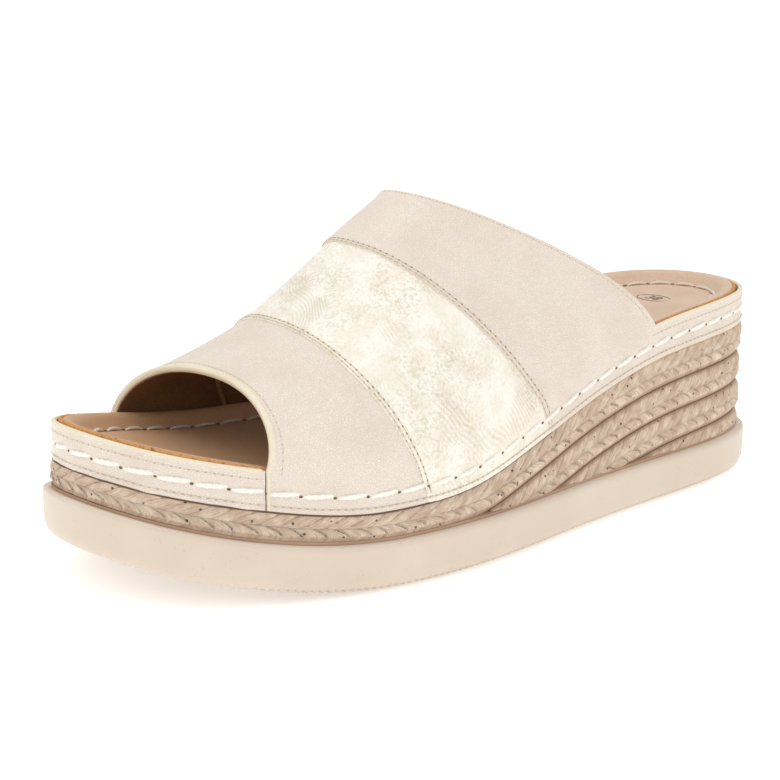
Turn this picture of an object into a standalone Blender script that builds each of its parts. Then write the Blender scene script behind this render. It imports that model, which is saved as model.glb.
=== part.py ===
"""An open-toe slip-on mule for the left foot, on a wedge sole with a moulded plait side.

Metres, +Z up. The toe points to -Y and the outer side of the foot to +X. The origin is on the ground, under the
middle of the shoe's box. Every piece is worked out from the named sizes below and from short tables of shares.
"""
import math

import bpy
import numpy as np

# Driving sizes of the sole
SOLE_LENGTH = 0.262
SOLE_WIDTH = 0.0998
OUTSOLE_THICK = 0.0139
TOE_SPRING = 0.0138
SPRING_START = 0.71
PLAIT_AT_BALL = 0.0078
PLAIT_AT_HEEL = 0.0360
PLAIT_PITCH = 0.0100
PLAIT_RELIEF = 0.0019
WEDGE_INSET = 0.0023

# Driving sizes of the footbed and its rand
RAND_INSET = 0.0030
RAND_HEIGHT = 0.0109
LEATHER = 0.0018
FOOTBED_CROWN = 0.0010
FOOTBED_CUP = 0.0030

# Driving sizes of the upper
CROWN_HEIGHT = 0.0625
PANEL_STEP = 0.0008
MARGIN_STEP = 0.30
PANEL_EDGE = 0.0015
TOE_EDGE_ROLL = 0.0005
TOE_EDGE_WIDTH = 0.0030

# Clearance between curved pieces
GAP = 0.0003

# Mesh fineness
RUNGS = 48
OUTLINE_POINTS = 1200
FOOTBED_COLUMNS = 8
ARCH_COLUMNS = 36
PANEL_ROWS = (6, 8, 9)
STRIP_STEPS = 46
SMOOTH_BELOW = math.radians(35)

# Colour and roughness of each piece
FINISH = {
    "outsole": ((0.80, 0.68, 0.55), 0.45),
    "wedge": ((0.58, 0.45, 0.36), 0.75),
    "insole": ((0.55, 0.40, 0.27), 0.60),
    "toe_rand": ((0.85, 0.79, 0.68), 0.55),
    "upper": ((0.86, 0.80, 0.71), 0.50),
}

# Sole outline, going round from the heel over the outer side: share of the length from the heel, share of the
# half width from the middle line
OUTLINE = [
    (0.000, -0.02), (0.034, 0.38), (0.121, 0.61), (0.250, 0.714), (0.399, 0.818), (0.548, 0.957), (0.660, 1.00),
    (0.770, 0.932), (0.878, 0.730), (0.968, 0.373), (1.000, -0.182), (0.966, -0.628), (0.883, -0.918),
    (0.770, -1.00), (0.680, -0.938), (0.550, -0.784), (0.400, -0.710), (0.250, -0.706), (0.120, -0.680),
    (0.029, -0.449),
]

# Wedge thickness along the shoe: share of the length from the heel, share of the way from the ball's thickness to
# the heel's
WEDGE_RISE = [
    (0.000, 1.000), (0.118, 0.975), (0.271, 0.858), (0.385, 0.638), (0.500, 0.337), (0.615, 0.064), (0.729, 0.000),
    (0.882, 0.020), (1.000, -0.010),
]

# Outsole side: inset as a share of its thickness, height as a share of it
OUTSOLE_SIDE = [
    (0.300, 0.000), (0.160, 0.035), (0.060, 0.115), (0.010, 0.260), (0.000, 0.600), (0.000, 0.935), (0.025, 0.982),
    (0.070, 1.000),
]

# One plait band's side: share of the pitch below the groove above it, share of the relief cut away there
PLAIT_BAND = [(0.00, 1.00), (0.10, 0.42), (0.26, 0.08), (0.50, 0.00), (0.74, 0.08), (0.90, 0.42)]

# Footbed edge: inset from its own edge as a share of the rand's height, height above the rand's top as a share of
# the crown
FOOTBED_RIM = [(0.00, -0.60), (0.06, 0.25), (0.18, 0.80), (0.38, 1.00)]

# Upper sections, toe edge, two panel seams and back edge: lateral foot, medial foot and crown as shares of the
# length from the heel, crown off the middle line as a share of the half width, crown above the rand's top as a
# share of the greatest, how square its sides and its shoulders are, and how late its edge leans to the toe
SECTIONS = [
    ("toe_edge", 0.858, 0.851, 0.828, -0.02, 0.332, 0.91, 0.98, 0.98),
    ("front_seam", 0.695, 0.669, 0.743, -0.07, 0.550, 0.88, 0.96, 0.96),
    ("rear_seam", 0.500, 0.495, 0.635, -0.13, 0.848, 0.90, 1.00, 1.00),
    ("back_edge", 0.276, 0.300, 0.557, -0.14, 1.000, 0.92, 1.08, 1.48),
]

# Shares of the rand's height at which its rows lie, from the lower edge to the upper
RAND_ROWS = (0.0, 0.5, 1.0)

# Least height of the row of faces just above the outsole
LEAST_ROW = 0.0006

# Share of the turn over the foot in which a panel's step grows from the margin's share to the whole
STEP_GROWS = 0.14


def clear_scene():
    """Remove what the file starts with."""
    for thing in list(bpy.data.objects):
        bpy.data.objects.remove(thing, do_unlink=True)


def closed_spline(points, count):
    """Points evenly along a smooth closed curve through the given ones."""
    knots = np.array(points, float)
    size = len(knots)
    ends = np.roll(knots, -1, 0)
    steps = np.sqrt(np.linalg.norm(ends - knots, axis=1))
    matrix = np.zeros((size, size))
    right = np.zeros((size, 2))
    for i in range(size):
        before, after = steps[i - 1], steps[i]
        matrix[i, i - 1] = after
        matrix[i, i] = 2 * (before + after)
        matrix[i, (i + 1) % size] = before
        right[i] = 3 * (after * (knots[i] - knots[i - 1]) / before + before * (ends[i] - knots[i]) / after)
    slopes = np.linalg.solve(matrix, right)
    per_span = max(2, count // size)
    curve = []
    for i in range(size):
        step, slope, slope_after = steps[i], slopes[i], slopes[(i + 1) % size]
        for s in np.arange(per_span) / per_span:
            h1, h2 = 2 * s ** 3 - 3 * s ** 2 + 1, s ** 3 - 2 * s ** 2 + s
            h3, h4 = -2 * s ** 3 + 3 * s ** 2, s ** 3 - s ** 2
            curve.append(h1 * knots[i] + h2 * step * slope + h3 * ends[i] + h4 * step * slope_after)
    return np.array(curve)


def smooth_table(table, where):
    """Value of a two-column table at the given places, on a smooth curve through its rows."""
    x, y = np.array(table, float).T
    slopes = np.gradient(y, x)
    where = np.clip(where, x[0], x[-1])
    i = np.clip(np.searchsorted(x, where) - 1, 0, len(x) - 2)
    span = x[i + 1] - x[i]
    s = (where - x[i]) / span
    value = (2 * s ** 3 - 3 * s ** 2 + 1) * y[i] + (s ** 3 - 2 * s ** 2 + s) * span * slopes[i]
    return value + (-2 * s ** 3 + 3 * s ** 2) * y[i + 1] + (s ** 3 - s ** 2) * span * slopes[i + 1]


class Plan:
    """The sole's outline, set in by a given amount, read as two sides that run from the heel to the toe."""

    def __init__(self):
        shares = np.array(OUTLINE)
        edge = np.column_stack([shares[:, 1] * SOLE_WIDTH / 2, (0.5 - shares[:, 0]) * SOLE_LENGTH])
        curve = closed_spline(edge, OUTLINE_POINTS)
        low, high = curve.min(0), curve.max(0)
        self.curve = (curve - (low + high) / 2) * [SOLE_WIDTH, SOLE_LENGTH] / (high - low)
        along = np.roll(self.curve, -1, 0) - np.roll(self.curve, 1, 0)
        outward = np.stack([-along[:, 1], along[:, 0]], 1)
        outward /= np.linalg.norm(outward, axis=1)[:, None]
        self.outward = outward * np.sign((outward * self.curve).sum())
        self.sides = {}

    def side_pair(self, inset):
        """Outer and inner side of the outline at an inset, each as x against rising y."""
        key = round(inset, 7)
        if key not in self.sides:
            curve = self.curve - self.outward * inset
            heel, toe = int(curve[:, 1].argmax()), int(curve[:, 1].argmin())
            ring = np.roll(curve, -heel, 0)
            turn = (toe - heel) % len(curve)
            first, second = ring[:turn + 1], np.vstack([ring[turn:], ring[:1]])
            if first[:, 0].mean() < second[:, 0].mean():
                first, second = second, first
            self.sides[key] = [part[part[:, 1].argsort()] for part in (first, second)]
        return self.sides[key]

    def across(self, y, inset):
        """x on the outer and on the inner side where the outline at an inset crosses y."""
        outer, inner = self.side_pair(inset)
        return np.interp(y, outer[:, 1], outer[:, 0]), np.interp(y, inner[:, 1], inner[:, 0])

    def rungs(self, inset, count=RUNGS):
        """Levels of y from heel to toe, close together at both round ends."""
        outer = self.side_pair(inset)[0]
        low, high = outer[0, 1], outer[-1, 1]
        return (low + high) / 2 + (high - low) / 2 * np.cos(np.linspace(0, math.pi, count + 1))

    def ring(self, inset):
        """Closed ring of points at an inset: heel tip, outer side, toe tip, inner side."""
        y = self.rungs(inset)
        outer, inner = self.across(y, inset)
        tips = (outer + inner) / 2
        outer[0] = inner[0] = tips[0]
        outer[-1] = inner[-1] = tips[-1]
        return np.column_stack([np.r_[outer, inner[-2:0:-1]], np.r_[y, y[-2:0:-1]]])


PLAN = Plan()


def share_at(y):
    """Share of the sole's length from the heel at y."""
    return 0.5 - y / SOLE_LENGTH


def y_at(share):
    """y at a share of the sole's length from the heel."""
    return (0.5 - share) * SOLE_LENGTH


def ground(y):
    """Height of the sole's underside: flat, then the toe spring."""
    run = np.clip((share_at(y) - SPRING_START) / (1 - SPRING_START), 0, None)
    return TOE_SPRING * run ** 2


def outsole_top(y):
    """Height of the outsole's upper face."""
    return ground(y) + OUTSOLE_THICK


def wedge_top(y):
    """Height of the wedge's upper face, on which footbed and rand sit."""
    rise = smooth_table(WEDGE_RISE, share_at(y))
    return outsole_top(y) + PLAIT_AT_BALL + (PLAIT_AT_HEEL - PLAIT_AT_BALL) * rise


def rand_top(y):
    """Height of the rand's upper edge."""
    return wedge_top(y) + GAP + RAND_HEIGHT


def make_object(name, verts, faces):
    """One closed mesh object with its own material."""
    mesh = bpy.data.meshes.new(name)
    mesh.from_pydata([tuple(map(float, v)) for v in verts], [], faces)
    mesh.validate()
    mesh.shade_smooth()
    mesh.set_sharp_from_angle(angle=SMOOTH_BELOW)
    material = bpy.data.materials.new(name)
    material.use_nodes = True
    shader = material.node_tree.nodes["Principled BSDF"]
    colour, roughness = FINISH[name]
    shader.inputs["Base Color"].default_value = (*colour, 1)
    shader.inputs["Roughness"].default_value = roughness
    shader.inputs["Metallic"].default_value = 0.0
    mesh.materials.append(material)
    thing = bpy.data.objects.new(name, mesh)
    bpy.context.collection.objects.link(thing)
    return thing


def ring_walls(rings):
    """Quads between rings that have as many points each, the first ring lowest."""
    count = rings[0][1] - rings[0][0]
    faces = []
    for (low, _), (high, _) in zip(rings, rings[1:]):
        for i in range(count):
            j = (i + 1) % count
            faces.append((low + i, high + i, high + j, low + j))
    return faces


def ladder(start, upward, count=RUNGS):
    """Cap over a ring, rung by rung from the heel tip to the toe tip."""
    total = 2 * count
    faces = [(start, start + total - 1, start + 1)]
    for i in range(1, count - 1):
        faces.append((start + i, start + total - i, start + total - i - 1, start + i + 1))
    faces.append((start + count - 1, start + count + 1, start + count))
    return faces if upward else [face[::-1] for face in faces]


def make_outsole():
    """Rubber slab with a rounded ground edge, flat under heel and ball, sprung at the toe."""
    verts, rings = [], []
    for inset, height in OUTSOLE_SIDE:
        plan = PLAN.ring(inset * OUTSOLE_THICK)
        rings.append((len(verts), len(verts) + len(plan)))
        lift = ground(plan[:, 1]) + height * OUTSOLE_THICK
        verts.extend(np.column_stack([plan, lift]))
    faces = ring_walls(rings)
    faces += ladder(rings[0][0], False)
    faces += ladder(rings[-1][0], True)
    return make_object("outsole", verts, faces)


def plait_relief(depth):
    """How far the plait's side is cut back at a depth below the wedge's top."""
    share = (depth / PLAIT_PITCH) % 1.0
    return PLAIT_RELIEF * np.interp(share, *np.array(PLAIT_BAND + [(1.0, 1.0)]).T)


def plait_depths(thickness):
    """Depths of the rows down the wedge's side, from the top edge to the outsole."""
    rows = [0.0]
    band = 0
    while band * PLAIT_PITCH < thickness:
        rows += [(band + share) * PLAIT_PITCH for share, _ in PLAIT_BAND if band + share > 0]
        band += 1
    return [row for row in rows if row < thickness - LEAST_ROW] + [thickness]


def zip_columns(first, second):
    """Faces between two columns of vertices that start level and may differ in length."""
    shared = min(len(first), len(second)) - 1
    faces = [(first[r], first[r + 1], second[r + 1], second[r]) for r in range(shared - 1)]
    i = j = shared - 1
    while i < len(first) - 1 or j < len(second) - 1:
        left = (i - shared + 1) / max(1, len(first) - shared)
        right = (j - shared + 1) / max(1, len(second) - shared)
        if j == len(second) - 1 or (i < len(first) - 1 and left <= right):
            faces.append((first[i], first[i + 1], second[j]))
            i += 1
        else:
            faces.append((first[i], second[j + 1], second[j]))
            j += 1
    return faces


def make_wedge():
    """Midsole whose side is the plait: bands parallel to its top that run out on the outsole."""
    count = 2 * RUNGS
    top_y = PLAN.ring(WEDGE_INSET)[:, 1]
    thickness = wedge_top(top_y) - outsole_top(top_y) - GAP
    verts, columns = [], []
    for station in range(count):
        column = []
        for depth in plait_depths(thickness[station]):
            x, y = PLAN.ring(WEDGE_INSET + plait_relief(depth))[station]
            last = depth == thickness[station]
            height = outsole_top(y) + GAP if last else wedge_top(y) - depth
            column.append(len(verts))
            verts.append((x, y, height))
        columns.append(column)
    faces = []
    for column, after in zip(columns, columns[1:] + columns[:1]):
        faces += [face[::-1] for face in zip_columns(column, after)]
    top = [column[0] for column in columns]
    foot = [column[-1] for column in columns]
    faces += [tuple(top[i] for i in face) for face in ladder(0, True)]
    faces += [tuple(foot[i] for i in face) for face in ladder(0, False)]
    return make_object("wedge", verts, faces)


def make_insole():
    """Footbed inside the rand: upright edge, soft raised rim and a cupped middle."""
    edge = RAND_INSET + LEATHER + GAP
    verts, rings = [], []
    plan = PLAN.ring(edge)
    rings.append((0, len(plan)))
    verts.extend(np.column_stack([plan, wedge_top(plan[:, 1]) + GAP]))
    for inset, height in FOOTBED_RIM:
        plan = PLAN.ring(edge + inset * RAND_HEIGHT)
        rings.append((len(verts), len(verts) + len(plan)))
        verts.extend(np.column_stack([plan, rand_top(plan[:, 1]) + height * FOOTBED_CROWN]))
    faces = ring_walls(rings)
    faces += ladder(0, False)
    rim = rings[-1][0]
    rows = []
    for i in range(1, RUNGS):
        outer, inner = verts[rim + i], verts[rim + 2 * RUNGS - i]
        fullness = math.sin(math.pi * i / RUNGS)
        row = [rim + i]
        for c in range(1, FOOTBED_COLUMNS):
            share = c / FOOTBED_COLUMNS
            x, y, z = outer + (inner - outer) * share
            sag = FOOTBED_CUP * fullness * (1 - (2 * share - 1) ** 4)
            row.append(len(verts))
            verts.append((x, y, z - sag))
        rows.append(row + [rim + 2 * RUNGS - i])
    for c in range(FOOTBED_COLUMNS):
        faces.append((rim, rows[0][c + 1], rows[0][c]))
        faces.append((rim + RUNGS, rows[-1][c], rows[-1][c + 1]))
        for row, after in zip(rows, rows[1:]):
            faces.append((row[c], row[c + 1], after[c + 1], after[c]))
    return make_object("insole", verts, faces)


def section_value(column, along):
    """A column of the upper's sections at a place along it, 0 at the toe edge and 1 at the back edge."""
    places = panel_places()
    return float(smooth_table([(place, row[column]) for place, row in zip(places, SECTIONS)], along))


def panel_places():
    """Places of the four sections along the upper, from their outer feet."""
    feet = [row[1] for row in SECTIONS]
    return [(feet[0] - foot) / (feet[0] - feet[-1]) for foot in feet]


def upper_foot(y, side):
    """Point at the rand's upper edge on a side, 0 the outer and 1 the inner."""
    return np.array([PLAN.across(y, RAND_INSET)[side], y, rand_top(y)])


def upper_point(along, turn):
    """Point on the upper's face: turn is 0 at the outer foot, half at the crown and 1 at the inner foot."""
    outer_y, inner_y, crown_y = (y_at(section_value(column, along)) for column in (1, 2, 3))
    outer, inner = upper_foot(outer_y, 0), upper_foot(inner_y, 1)
    crown_x = section_value(4, along) * SOLE_WIDTH / 2
    crown = np.array([crown_x, crown_y, rand_top(crown_y) + section_value(5, along) * CROWN_HEIGHT])
    under = outer + (inner - outer) * (outer[0] - crown_x) / (outer[0] - inner[0])
    foot = outer if turn < 0.5 else inner
    spread = abs(math.cos(math.pi * turn)) ** section_value(6, along)
    height = max(0.0, math.sin(math.pi * turn))
    lift, lean = height ** section_value(7, along), height ** section_value(8, along)
    return under + (foot - under) * spread + (crown - under) * [lift, lean, lift]


def upper_rows():
    """Places of the grid's rows along the upper with the panel's step at each: toe edge roll, then three panels."""
    places = panel_places()
    span = (SECTIONS[0][1] - SECTIONS[-1][1]) * SOLE_LENGTH
    edge = PANEL_EDGE / span
    roll = TOE_EDGE_WIDTH / span
    rows = [(0.0, TOE_EDGE_ROLL), (roll, TOE_EDGE_ROLL)]
    starts = [roll + edge] + places[1:3]
    stops = [places[1] - edge, places[2] - edge, 1.0]
    for panel, (start, stop, count) in enumerate(zip(starts, stops, PANEL_ROWS)):
        rows += [(start + (stop - start) * i / count, panel * PANEL_STEP) for i in range(count + 1)]
    return rows


def step_share(turn):
    """Share of a panel's step at a place over the foot: little on the lasted margins, whole over the foot."""
    rise = np.clip(np.minimum(turn, 1 - turn) / STEP_GROWS, 0, 1)
    return rise * rise * (3 - 2 * rise)


def grid_normals(grid):
    """Outward normals of a grid of points, rows along the shoe and columns over it."""
    along = np.gradient(grid, axis=0)
    over = np.gradient(grid, axis=1)
    normal = np.cross(along, over)
    return normal / np.linalg.norm(normal, axis=2)[:, :, None]


def shell(outer, inner, faces):
    """Vertices and faces of a closed wall between an outer sheet and its inner twin."""
    count = len(outer)
    walls = list(faces) + [tuple(v + count for v in face[::-1]) for face in faces]
    edges = {}
    for face in faces:
        for a, b in zip(face, face[1:] + face[:1]):
            edges[(a, b)] = True
    for a, b in edges:
        if (b, a) not in edges:
            walls.append((b, a, a + count, b + count))
    return np.vstack([outer, inner]), walls


def strip_path(start, stop, toward_heel):
    """Plan points along the rand between two levels of y on its two sides, round the heel or round the toe."""
    y = PLAN.rungs(RAND_INSET, OUTLINE_POINTS // 2)
    outer, inner = PLAN.across(y, RAND_INSET)
    if toward_heel:
        lateral = [(a, b) for a, b in zip(outer, y) if b > start]
        medial = [(a, b) for a, b in zip(inner, y) if b > stop]
    else:
        lateral = [(a, b) for a, b in zip(outer, y) if b < start]
        medial = [(a, b) for a, b in zip(inner, y) if b < stop]
    first = [(PLAN.across(start, RAND_INSET)[0], start)]
    last = [(PLAN.across(stop, RAND_INSET)[1], stop)]
    if toward_heel:
        path = first + lateral[::-1] + medial[1:] + last
    else:
        path = first + lateral + medial[::-1][1:] + last
    path = np.array(path, float)
    length = np.r_[0, np.cumsum(np.linalg.norm(np.diff(path, axis=0), axis=1))]
    even = np.linspace(0, length[-1], STRIP_STEPS + 1)
    return np.column_stack([np.interp(even, length, path[:, 0]), np.interp(even, length, path[:, 1])])


def plan_normals(path):
    """Outward normals in plan of an open path round the heel or the toe."""
    along = np.gradient(path, axis=0)
    normal = np.stack([-along[:, 1], along[:, 0]], 1)
    normal /= np.linalg.norm(normal, axis=1)[:, None]
    return normal * np.sign((normal * path).sum())


def rand_strip(path, step):
    """Outer and inner points of a strip of rand along a path, rows from its lower edge up."""
    normal = plan_normals(path)
    outer, inner = [], []
    for share in RAND_ROWS:
        height = wedge_top(path[:, 1]) + GAP + share * RAND_HEIGHT
        outer.append(np.column_stack([path + normal * step, height]))
        inner.append(np.column_stack([path - normal * LEATHER, height]))
    return np.array(outer), np.array(inner)


def make_toe_rand():
    """Strip of leather round the toe between the upper's two lower ends."""
    lateral, medial = y_at(SECTIONS[0][1]) - GAP, y_at(SECTIONS[0][2]) - GAP
    outer, inner = rand_strip(strip_path(lateral, medial, False), 0.0)
    rows, count = outer.shape[:2]
    faces = []
    for r in range(rows - 1):
        for i in range(count - 1):
            a = r * count + i
            faces.append((a, a + count, a + count + 1, a + 1))
    verts, walls = shell(outer.reshape(-1, 3), inner.reshape(-1, 3), faces)
    return make_object("toe_rand", verts, walls)


def make_upper():
    """The whole leather upper: arch over the foot, lower margins and the strip round the heel, one hollow wall."""
    rows = upper_rows()
    turns = np.linspace(0, 1, ARCH_COLUMNS + 1)
    arch = np.array([[upper_point(along, turn) for turn in turns] for along, _ in rows])
    normal = grid_normals(arch)
    steps = np.array([step for _, step in rows])
    margins = RAND_ROWS[:-1]
    outer_cols, inner_cols = [], []
    for edge, outward in ((0, 1.0), (-1, -1.0)):
        path = arch[:, edge, :2]
        along = np.gradient(path, axis=0)
        flat = np.stack([-along[:, 1], along[:, 0]], 1)
        flat /= np.linalg.norm(flat, axis=1)[:, None]
        flat *= np.sign(flat[:, :1]) * outward
        normal[:, edge, :2] = flat
        normal[:, edge, 2] = 0
        for share in margins:
            height = wedge_top(path[:, 1]) + GAP + share * RAND_HEIGHT
            outer_cols.append(np.column_stack([path + flat * steps[:, None] * MARGIN_STEP, height]))
            inner_cols.append(np.column_stack([path - flat * LEATHER, height]))
    grown = step_share(turns)[None, :, None]
    outer_arch = arch + normal * steps[:, None, None] * (MARGIN_STEP + (1 - MARGIN_STEP) * grown)
    inner_arch = arch + normal * (steps[:, None, None] * grown - LEATHER)
    half = len(margins)
    outer = np.concatenate([np.stack(outer_cols[:half], 1), outer_arch, np.stack(outer_cols[half:][::-1], 1)], 1)
    inner = np.concatenate([np.stack(inner_cols[:half], 1), inner_arch, np.stack(inner_cols[half:][::-1], 1)], 1)
    count_rows, count_cols = outer.shape[:2]
    faces = []
    for r in range(count_rows - 1):
        for c in range(count_cols - 1):
            a = r * count_cols + c
            faces.append((a, a + count_cols, a + count_cols + 1, a + 1))
    verts_out, verts_in = list(outer.reshape(-1, 3)), list(inner.reshape(-1, 3))
    back = (count_rows - 1) * count_cols
    path = strip_path(arch[-1, 0, 1], arch[-1, -1, 1], True)
    strip_out, strip_in = rand_strip(path, steps[-1] * MARGIN_STEP)
    strip_rows = len(RAND_ROWS)
    ids = [[back + r for r in range(strip_rows)]]
    for i in range(1, STRIP_STEPS):
        ids.append([len(verts_out) + r for r in range(strip_rows)])
        verts_out.extend(strip_out[:, i])
        verts_in.extend(strip_in[:, i])
    ids.append([back + count_cols - 1 - r for r in range(strip_rows)])
    for column, after in zip(ids, ids[1:]):
        for r in range(strip_rows - 1):
            faces.append((column[r], after[r], after[r + 1], column[r + 1]))
    verts, walls = shell(np.array(verts_out), np.array(verts_in), faces)
    return make_object("upper", verts, walls)


def main():
    """Build the shoe."""
    clear_scene()
    make_outsole()
    make_wedge()
    make_insole()
    make_toe_rand()
    make_upper()


main()
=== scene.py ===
"""Looks of a left open-toe mule on a plaited wedge sole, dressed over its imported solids.

Metres, +Z up, the toe to -Y and the outer side of the foot to +X. The shoe's own forms are worked out from
its driving sizes, grids are laid on them, and stitches are modelled once, repeated and bent along their lines.
"""
import logging
import math
from collections.abc import Callable
from dataclasses import dataclass, field
from enum import Enum

import bpy
import numpy as np
from mathutils import Matrix, Vector


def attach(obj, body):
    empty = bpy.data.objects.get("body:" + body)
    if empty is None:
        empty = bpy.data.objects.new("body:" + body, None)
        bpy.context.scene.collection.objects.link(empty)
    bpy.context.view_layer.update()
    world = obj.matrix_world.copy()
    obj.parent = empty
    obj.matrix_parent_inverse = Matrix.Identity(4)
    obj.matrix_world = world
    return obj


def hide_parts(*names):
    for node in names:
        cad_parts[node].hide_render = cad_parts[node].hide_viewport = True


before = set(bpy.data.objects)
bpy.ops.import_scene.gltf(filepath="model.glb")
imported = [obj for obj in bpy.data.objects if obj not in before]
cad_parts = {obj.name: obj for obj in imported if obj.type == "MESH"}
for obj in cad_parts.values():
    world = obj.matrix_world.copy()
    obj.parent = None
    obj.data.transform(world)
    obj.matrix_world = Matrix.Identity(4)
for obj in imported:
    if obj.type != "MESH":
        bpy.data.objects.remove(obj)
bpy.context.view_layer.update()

LOG = logging.getLogger("mule")
Array = np.ndarray
Place = Callable[[Array, Array], Array]

# Sole outline from the heel over the outer side: share of the length, share of the half width
OUTLINE = (
    (0.000, -0.02), (0.034, 0.38), (0.121, 0.61), (0.250, 0.714), (0.399, 0.818), (0.548, 0.957),
    (0.660, 1.00), (0.770, 0.932), (0.878, 0.730), (0.968, 0.373), (1.000, -0.182), (0.966, -0.628),
    (0.883, -0.918), (0.770, -1.00), (0.680, -0.938), (0.550, -0.784), (0.400, -0.710), (0.250, -0.706),
    (0.120, -0.680), (0.029, -0.449),
)

# Wedge thickness: share of the length from the heel, share of the way from the ball's thickness to the heel's
WEDGE_RISE = (
    (0.000, 1.000), (0.118, 0.975), (0.271, 0.858), (0.385, 0.638), (0.500, 0.337), (0.615, 0.064),
    (0.729, 0.000), (0.882, 0.020), (1.000, -0.010),
)

# Outsole side: inset and height as shares of its thickness
OUTSOLE_SIDE = (
    (0.300, 0.000), (0.160, 0.035), (0.060, 0.115), (0.010, 0.260), (0.000, 0.600), (0.000, 0.935),
    (0.025, 0.982), (0.070, 1.000),
)

# Plait band's side: share of the pitch below the groove above it, share of the relief cut away there
PLAIT_BAND = (
    (0.00, 1.00), (0.10, 0.42), (0.26, 0.08), (0.50, 0.00), (0.74, 0.08), (0.90, 0.42), (1.00, 1.00),
)

# Wedge core's section: place round it, way in from the plait's back, shares of the ledge's height and of the
# wedge's height
CORE_SECTION = (
    (0.00, 0.006, 0.0, 0.0), (0.30, 0.000, 0.0, 0.0), (0.42, 0.000, 1.0, 0.0), (0.50, 0.004, 1.0, 0.0),
    (0.62, 0.004, 0.0, 1.0), (1.00, 0.004, 0.0, 1.0),
)

# Upper sections from the toe edge to the back edge: outer foot, inner foot and crown as shares of the length,
# crown off the middle as a share of the half width, crown height as a share of the greatest, how square the
# sides and the shoulders are, and how late the edge leans to the toe
SECTIONS = (
    (0.858, 0.851, 0.828, -0.02, 0.332, 0.91, 0.98, 0.98),
    (0.695, 0.669, 0.743, -0.07, 0.550, 0.88, 0.96, 0.96),
    (0.500, 0.495, 0.635, -0.13, 0.848, 0.90, 1.00, 1.00),
    (0.276, 0.300, 0.557, -0.14, 1.000, 0.92, 1.08, 1.48),
)


def closed_spline(points: Array, per_span: int) -> Array:
    """Points evenly along a smooth closed curve through the given ones.

    Args:
        points: Knots of the curve, one row each.
        per_span: Number of points from each knot to the next.

    Returns:
        The curve's points, one row each.
    """
    size = len(points)
    ends = np.roll(points, -1, 0)
    steps = np.sqrt(np.linalg.norm(ends - points, axis=1))
    matrix = np.zeros((size, size))
    right = np.zeros((size, 2))
    for i in range(size):
        before, after = steps[i - 1], steps[i]
        matrix[i, i - 1] = after
        matrix[i, i] = 2 * (before + after)
        matrix[i, (i + 1) % size] = before
        right[i] = 3 * (after * (points[i] - points[i - 1]) / before + before * (ends[i] - points[i]) / after)
    slopes = np.linalg.solve(matrix, right)
    share = np.arange(per_span)[:, None] / per_span
    h1, h2 = 2 * share ** 3 - 3 * share ** 2 + 1, share ** 3 - 2 * share ** 2 + share
    h3, h4 = -2 * share ** 3 + 3 * share ** 2, share ** 3 - share ** 2
    spans = []
    for i in range(size):
        after = slopes[(i + 1) % size]
        spans.append(h1 * points[i] + h2 * steps[i] * slopes[i] + h3 * ends[i] + h4 * steps[i] * after)
    return np.concatenate(spans)


def smooth_table(table: tuple, where: Array) -> Array:
    """Value of a two-column table on a smooth curve through its rows.

    Args:
        table: Rows of place and value, the places rising.
        where: Places to read.

    Returns:
        The value at each place.
    """
    x, y = np.array(table, float).T
    slopes = np.gradient(y, x)
    where = np.clip(where, x[0], x[-1])
    i = np.clip(np.searchsorted(x, where) - 1, 0, len(x) - 2)
    span = x[i + 1] - x[i]
    s = (where - x[i]) / span
    value = (2 * s ** 3 - 3 * s ** 2 + 1) * y[i] + (s ** 3 - 2 * s ** 2 + s) * span * slopes[i]
    return value + (-2 * s ** 3 + 3 * s ** 2) * y[i + 1] + (s ** 3 - s ** 2) * span * slopes[i + 1]


def ease(value: Array) -> Array:
    """Smooth step from 0 to 1 as the value goes from 0 to 1."""
    value = np.clip(value, 0, 1)
    return value * value * (3 - 2 * value)


def unit(vectors: Array) -> Array:
    """Vectors along the last axis, each scaled to length 1."""
    return vectors / np.maximum(np.linalg.norm(vectors, axis=-1, keepdims=True), 1e-12)


def ripple(place: Array, seed: float) -> Array:
    """Soft irregular wave between about -1 and 1 along a line, the same each run.

    Args:
        place: Places along the line, one unit to a wave.
        seed: Shifts the wave, so that two lines differ.

    Returns:
        The wave at each place.
    """
    turn = 2 * math.pi * np.asarray(place)
    first = np.sin(turn * 0.73 + seed * 1.7)
    second = np.sin(turn * 1.31 + seed * 2.9)
    return 0.45 * first + 0.35 * second + 0.2 * np.sin(turn * 2.17 + seed * 4.1)


class Side(Enum):
    """A side of the left foot."""

    OUTER = 0
    INNER = 1


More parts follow.
